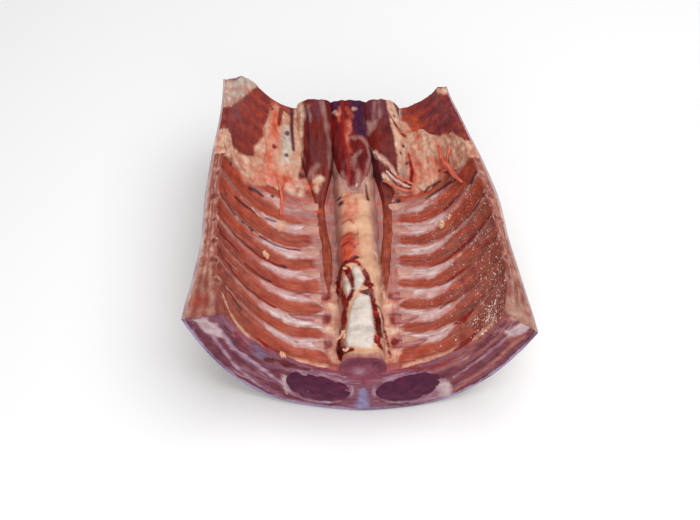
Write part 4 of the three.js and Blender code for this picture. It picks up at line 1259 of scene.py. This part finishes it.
# ---- Loin eyes, fillets and the pillar ----
EYE_OFFSET, EYE_HALF_WIDTH, EYE_OVER_FAT, EYE_UNDER_LINING = 39.0, 28.0, 7.0, 13.0
FILLET_START, FILLET_SWELL, FILLET_TAPER = 0.27, (0.6, 0.85), (0.22, 0.39)
STRIP_HALF_WIDTH, STRIP_HALF_DEPTH, STRIP_X, STRIP_Z = 4.6, 3.0, 27.0, 1.0
FILLET_HALF_WIDTH, FILLET_HALF_DEPTH, FILLET_OUT, FILLET_UP = 17.6, 12.0, 5.6, 6.0
STRIP_BOW = {-1: [1, 1.5, 2, 5, 6, 3, 1, 0, 0], 1: [-6, -4, -1, 2, 3, 2, 0, -1, -1]}  # mm, from the start on
SLOPE, SLOPE_MORE_RIGHT = 3.5, 1.5  # how far the fillets' outer shoulders drop at the loin end
PILLAR_START, PILLAR_TAPER = 0.64, (0.56, 0.78)
PILLAR_HALF_WIDTH, PILLAR_HALF_DEPTH, PILLAR_SINK = 17.5, 6.6, 2.0
LUMP_STRETCH = 3  # how many times longer the lumps of a muscle are than wide


def eye_surface(sign):
    """The surface of one loin eye; sign is -1 on the left."""
    def surface(angle, v, size):
        """An oval from above the outer fat to below the lining, with domed ends."""
        a, b = np.cos(angle), np.sin(angle)
        x = EYE_OFFSET + EYE_HALF_WIDTH * a
        bottom = along(FAT, v) + EYE_OVER_FAT
        _, high = lining(across_of(sign * x, v), v)
        low = skin_height(sign * x, v) + bottom
        z = (low + high - EYE_UNDER_LINING + (high - EYE_UNDER_LINING - low) * b) / 2
        _, middle = lining(across_of(np.full_like(x, sign * EYE_OFFSET), v), v)
        centre = (middle - EYE_UNDER_LINING + bottom) / 2
        x, z = EYE_OFFSET + (x - EYE_OFFSET) * size, centre + (z - centre) * size
        dome = 0.4 + 1.6 * (1 - size ** 2) + 0.3 * waves((x, z), 14, 70 + sign)
        return stretch_ends(place(sign * x, z, v), v, dome)
    return surface


def fillet_surface(sign):
    """The surface of one fillet; sign is -1 on the left."""
    def surface(angle, v, size):
        """A full oval, a thin bowed strip that swells to the thick fillet at the loin end, a little lumpy."""
        a, b = oval(angle)
        swell, taper = smooth(v, *FILLET_SWELL), smooth(v, *FILLET_TAPER)
        half_width, half_depth = (
            (thin * taper + (full - thin * taper) * swell) * size
            for thin, full in ((STRIP_HALF_WIDTH, FILLET_HALF_WIDTH), (STRIP_HALF_DEPTH, FILLET_HALF_DEPTH)))
        bow = along(STRIP_BOW[sign], (v - FILLET_START) / (1 - FILLET_START))
        x = STRIP_X + FILLET_OUT * swell + bow + half_width * a
        z = along(FLOOR, v) + STRIP_Z + FILLET_UP * swell + half_depth * b
        drop = (SLOPE + SLOPE_MORE_RIGHT * sign) * smooth(v, 0.85, 1)
        z = z - drop * np.maximum(a, 0) ** 2 * (b > 0) * size
        lumps = 0.5 * waves((x, v * LENGTH / LUMP_STRETCH), 9, 80 + sign) * (size == 1)
        return stretch_ends(place(sign * x, z + lumps, v), v, 1.4 * (1 - size ** 2))
    return surface


def pillar_surface(angle, v, size):
    """A flat full oval of muscle over the backbone that fades out towards the rib end, a little lumpy."""
    a, b = oval(angle)
    taper = smooth(v, *PILLAR_TAPER) * size
    x = PILLAR_HALF_WIDTH * taper * a
    z = along(FLOOR, v) + along(BONE_RISE, v) - PILLAR_SINK + PILLAR_HALF_DEPTH * taper * b
    lumps = 0.6 * waves((x, v * LENGTH / LUMP_STRETCH), 8, 90) * (size == 1)
    return stretch_ends(place(x, z + lumps, v), v, 1.2 * (1 - size ** 2))


def make_eyes_and_fillets():
    """The loin eyes and the fillets of both sides."""
    for name, (sign, _) in SIDES.items():
        points, faces, (_, v, _), _ = bar(np.linspace(0, 1, 25), 96, 24, eye_surface(sign))
        fields = {"fleck": -0.6 - 0.12 * np.hypot(beside(points, v) + 52, points[:, 2] - 22)}
        own(piece(f"loin_eye_{name}_muscle", points, faces, ["eye"], fields, lie=points.T[[1, 0, 2]]),
            "eye_muscle", f"loin_eye_{name}")
        stations = np.linspace(FILLET_START, 1, 220)
        points, faces, (_, v, _), _ = bar(stations, 72, 8, fillet_surface(sign))
        x = beside(points, v)
        u = across_of(x, v)
        fields = without(inside_fields(u, v), LINING_ONLY)
        fields["fascia"] = fields["fascia"] - 20 * (1 - smooth(v, 0.6, 0.7))
        fields["top"] = patches(u, v, TOPS) + 0.8 * waves((x, v * LENGTH / LUMP_STRETCH), 8, 81)
        fields["strip"] = (0.62 - v) * LENGTH
        lie = (v * LENGTH, x, points[:, 2])
        own(piece(f"fillet_{name}_muscle", points, faces, ["fillet"], fields, lie=lie),
            "fillet_muscle", f"fillet_{name}")


def make_pillar():
    """The dark muscle on the backbone at the loin end."""
    points, faces, (_, v, _), _ = bar(np.linspace(PILLAR_START, 1, 120), 96, 8, pillar_surface)
    x = beside(points, v)
    u = across_of(x, v)
    fields = inside_fields(u, v)
    fields["purple"] = patches(u, v, PURPLE) + 1.2 * waves((x, v * LENGTH), 12, 91)
    own(piece("pillar_muscle", points, faces, ["pillar"], fields, lie=(v * LENGTH, x, points[:, 2])),
        "dark_muscle", "pillar")


# ---- Kidney fat ----
PADS = {"left": (-1, 0.44, 0.82, 0.15, 0.15), "right": (1, 0.5, 0.78, 0.2, 0.12)}
PAD_HEIGHT, PAD_UNDERSIDE = 6.6, 0.4  # mm, and the share of it by which the underside bulges
PAD_POLE = 0.03  # how near to its poles the pad's turn starts and ends


def pad_surface(sign, across, middle, half_across, half_along):
    """The surface of one pad of kidney fat; sign is -1 on the left."""
    def surface(angle, turn, size):
        """A lumpy ellipsoid on the lining, its outline waved by two sines: turn runs from its underside at
        0 to its top at pi."""
        reach = (1 + 0.1 * np.sin(3 * angle + sign) + 0.06 * np.sin(7 * angle)) * np.sin(turn) * size
        u = across + half_across * reach * np.cos(angle)
        v = np.clip(middle + half_along * reach * np.sin(angle), 0, 1)
        x, y = flat(u, v)
        lumps = 0.6 * waves((x, y / 3), 11, 95) + 0.3 * waves((x, y / 1.5), 6, 96)
        top = turn > math.pi / 2
        height = -np.cos(turn) * PAD_HEIGHT * np.where(top, 1, PAD_UNDERSIDE)
        height = height + np.where(top, lumps * np.sin(turn / 2), 0)
        x, z = in_wall(sign * u, -height, v)
        return place(x, z, v)
    return surface


def make_kidney_fat():
    """The two pads of kidney fat."""
    for name, pad in PADS.items():
        turns = np.linspace(PAD_POLE, math.pi - PAD_POLE, 90)
        points, faces, _, _ = bar(turns, 220, 2, pad_surface(*pad))
        v = np.clip(points[:, 1] / LENGTH + 0.5, 0, 1)
        u = across_of(beside(points, v), v)
        fields = inside_fields(u, v)
        fields["mottle"] = 2 * waves(flat(u, v), 16, 97) - 2.4
        own(piece(f"kidney_fat_{name}_pad", points, faces, ["kidney_fat"], fields, lie=points.T[[1, 0, 2]]),
            "kidney_fat", f"kidney_fat_{name}")


# ---- Ribs: bars under the membrane, with sawn ends at the rims ----
RIB_DROP, RIB_DROP_ALONG = 2.6, (0.64, 0.7)  # how much lower the last rib lies under the kidney fat and flank


def rib_surface(sign, side, number):
    """The surface of one rib; sign is -1 on the left."""
    def surface(angle, w, size):
        """An oval bar along rib_line, its top RIB_PROUD above the lining, and below it where the kidney fat
        and the flank lie over the last rib."""
        middle = side["first_rib"][0] + side["rib_pitch"][0] * number + rib_line(w)
        v = (middle + RIB_WIDTH / 2 * np.cos(angle) * size) / LENGTH
        proud = RIB_PROUD - RIB_DROP * smooth(v, *RIB_DROP_ALONG)
        depth = RIB_THICKNESS / 2 - proud + RIB_THICKNESS / 2 * np.sin(angle) * size
        x, z = in_wall(sign * w, depth, v)
        return place(x, z, v)
    return surface


def make_ribs():
    """The ribs of both sides. The last ones end a little sooner, inside the flanks' rounder rims."""
    for name, (sign, side) in SIDES.items():
        for number in range(RIBS):
            stations = np.linspace(RIB_START, RIB_END - RIB_END_STEP * max(number - 3, 0), 40)
            points, faces, (_, _, size), _ = bar(stations, 24, 6, rib_surface(sign, side, number))
            fields = {"marrow": (0.45 + 0.25 * quirk(number, sign, 2.1) - size) * 6}
            own(piece(f"rib_{name}_{number + 1}_bone", points, faces, ["bone"], fields),
                "rib_bone", f"rib_{name}_{number + 1}")


# ---- Strands and flecks that lie on the inside: (u, v, height over the lining) points, width, finish ----
STRANDS = {
    "red_strand": ([(0.703, 0.775, 7), (0.69, 0.73, 8), (0.7, 0.695, 8), (0.735, 0.655, 6), (0.8, 0.605, 3)],
                   4.4, "strand"),
    "short_strand": ([(0.84, 0.745, 5), (0.79, 0.72, 7), (0.74, 0.705, 8), (0.7, 0.695, 7)], 4.0, "strand"),
    "side_strand": ([(0.6, 0.675, 5), (0.65, 0.675, 7), (0.71, 0.67, 7), (0.76, 0.65, 5)], 2.4, "strand"),
    "pale_strand": ([(0.15, 0.8, 15), (0.2, 0.77, 14), (0.25, 0.745, 11), (0.29, 0.715, 8)], 3.8, "sinew"),
    "fan_strand": ([(0.22, 0.735, 10), (0.26, 0.71, 8), (0.31, 0.685, 6), (0.37, 0.67, 4)], 2.8, "sinew"),
    "thin_strand": ([(0.26, 0.74, 9), (0.3, 0.71, 7), (0.35, 0.69, 6), (0.4, 0.675, 5)], 2.2, "strand"),
    "low_strand": ([(0.19, 0.7, 9), (0.24, 0.685, 8), (0.3, 0.665, 5), (0.4, 0.655, 3)], 2.6, "strand"),
    "left_fleck": ([(-0.54, 0.39, 2), (-0.52, 0.378, 3), (-0.505, 0.37, 2)], 4.4, "fleck"),
    "right_fleck": ([(0.5, 0.49, 2), (0.515, 0.5, 4), (0.525, 0.512, 2)], 5.6, "fleck"),
    "small_fleck": ([(0.565, 0.512, 2), (0.58, 0.517, 3), (0.595, 0.522, 2)], 3.6, "fleck"),
    "first_crumb": ([(-0.15, 0.075, 14), (-0.12, 0.085, 19), (-0.1, 0.1, 21)], 2.6, "fleck"),
    "second_crumb": ([(-0.12, 0.1, 19), (-0.105, 0.085, 21), (-0.11, 0.07, 20)], 2.4, "fleck"),
    "third_crumb": ([(-0.12, 0.035, 19), (-0.1, 0.028, 21), (-0.085, 0.035, 22)], 2.4, "fleck"),
    "fourth_crumb": ([(-0.09, 0.33, 22), (-0.08, 0.325, 22.5), (-0.07, 0.33, 22)], 2.4, "fleck"),
    "lip_fleck": ([(-0.47, 0.004, 0.5), (-0.45, 0.001, 1.5), (-0.43, 0.003, 0.5)], 4.6, "fleck"),
    "vein": ([(-0.46, 0.69, 5), (-0.435, 0.65, 3), (-0.425, 0.61, 2.5), (-0.43, 0.555, 1.5)], 2.4, "strand"),
}
STRAND_STEP = 1e-3  # the share of a strand on each side of a place over which its heading is taken
STRAND_GRAIN_MM = 40  # a strand's length in the grain's mm


def strand_surface(points, width):
    """The surface of a strand through (u, v, height over the lining) points."""
    path = np.array(points, float)

    def surface(angle, s, size):
        """A round cord, thin at both ends, its middle on a smooth curve through the points."""
        u, v, height = (along(path[:, k], s) for k in range(3))
        thick = width / 2 * np.sqrt(np.clip(1 - (2 * s - 1) ** 4, 0.02, 1)) * size
        thick = thick * (1 + 0.2 * np.sin(11 * s + angle) + 0.16 * np.sin(27 * s - 2 * angle))
        x, z = in_wall(u, -height, v)
        middle = place(x, z, v)
        after, before = np.minimum(s + STRAND_STEP, 1), np.maximum(s - STRAND_STEP, 0)
        ahead = [along(path[:, k], after) - along(path[:, k], before) for k in range(2)]
        heading = np.arctan2(ahead[1] * LENGTH, ahead[0] * ARC_MM)
        middle[:, 0] += -np.sin(heading) * thick * np.cos(angle)
        middle[:, 1] += np.cos(heading) * thick * np.cos(angle)
        middle[:, 2] += thick * np.sin(angle)
        return middle
    return surface


def make_strands():
    """Loose strands, a vein and crumbs of fat."""
    for name, (path, width, finish) in STRANDS.items():
        points, faces, (a, s, _), _ = bar(np.linspace(0, 1, 40), 14, 3, strand_surface(path, width))
        lie = (s * STRAND_GRAIN_MM, a, s * 0)
        own(piece(name, points, faces, [finish], {}, lie=lie), "kidney_fat", "meat")


# ---- The floor, the light and the camera ----
FLOOR_SIZE_M, FLOOR_DROP_M, FLOOR_GREY, FLOOR_ROUGHNESS, SKY_STRENGTH = 6, 0.0005, 244, 0.9, 0.26
# place and size in m, watts
LAMPS = {"key": ((0.3, 0.05, 1.4), 1.8, 21), "fill": ((-0.1, -1.3, 0.8), 1.4, 10)}


def make_stage():
    """A pale floor and soft light from above."""
    bpy.ops.mesh.primitive_plane_add(size=FLOOR_SIZE_M, location=(0, 0, -FLOOR_DROP_M))
    floor = bpy.context.object
    floor.name = "floor"
    made, tree = material("pale_floor")
    shader = node(tree, "ShaderNodeBsdfPrincipled", {"Base Color": rgb(*[FLOOR_GREY] * 3),
                                                     "Roughness": FLOOR_ROUGHNESS})
    node(tree, "ShaderNodeOutputMaterial", {0: shader.outputs[0]})
    floor.data.materials.append(made)
    world = bpy.data.worlds.new("studio")
    world.use_nodes = True
    sky = world.node_tree.nodes["Background"].inputs
    sky[0].default_value, sky[1].default_value = (1, 1, 1, 1), SKY_STRENGTH
    bpy.context.scene.world = world
    for name, (place_m, size, watts) in LAMPS.items():
        lamp = bpy.data.lights.new(name, "AREA")
        lamp.shape, lamp.size, lamp.energy = "DISK", size, watts
        light = bpy.data.objects.new(name, lamp)
        light.location = place_m
        light.rotation_mode = "QUATERNION"
        light.rotation_quaternion = (-Vector(place_m)).to_track_quat("-Z", "Y")
        bpy.context.scene.collection.objects.link(light)


FRAME_WIDTH, FRAME_HEIGHT = 700, 520
FOCAL_PIXELS, SENSOR_MM = 1524.0, 36.0
ELEVATION = math.radians(52)
DISTANCE = 1400.0
TARGET = np.array([0.0, 0.0, 55.0])
TARGET_PIXEL = np.array([358.0, 240.0])


def make_camera():
    """The photograph's camera, moved sideways so that the target falls on its pixel without a shift."""
    right = np.array([1.0, 0.0, 0.0])
    up = np.array([0.0, math.sin(ELEVATION), math.cos(ELEVATION)])
    back = np.array([0.0, -math.cos(ELEVATION), math.sin(ELEVATION)])
    off = (TARGET_PIXEL - (FRAME_WIDTH / 2, FRAME_HEIGHT / 2)) * DISTANCE / FOCAL_PIXELS
    spot = TARGET + back * DISTANCE - right * off[0] + up * off[1]
    spot[:2] += ORIGIN
    lens = bpy.data.cameras.new("camera")
    lens.sensor_width = SENSOR_MM
    lens.lens = FOCAL_PIXELS * SENSOR_MM / FRAME_WIDTH
    camera = bpy.data.objects.new("camera", lens)
    camera.location = spot * MM
    camera.rotation_euler = (math.pi / 2 - ELEVATION, 0, 0)
    bpy.context.scene.collection.objects.link(camera)
    bpy.context.scene.camera = camera


make_camera()
make_stage()
make_wall()
make_fat_cap()
make_backbone()
make_eyes_and_fillets()
make_pillar()
make_kidney_fat()
make_ribs()
make_strands()
bpy.context.scene.view_settings.view_transform = "Standard"
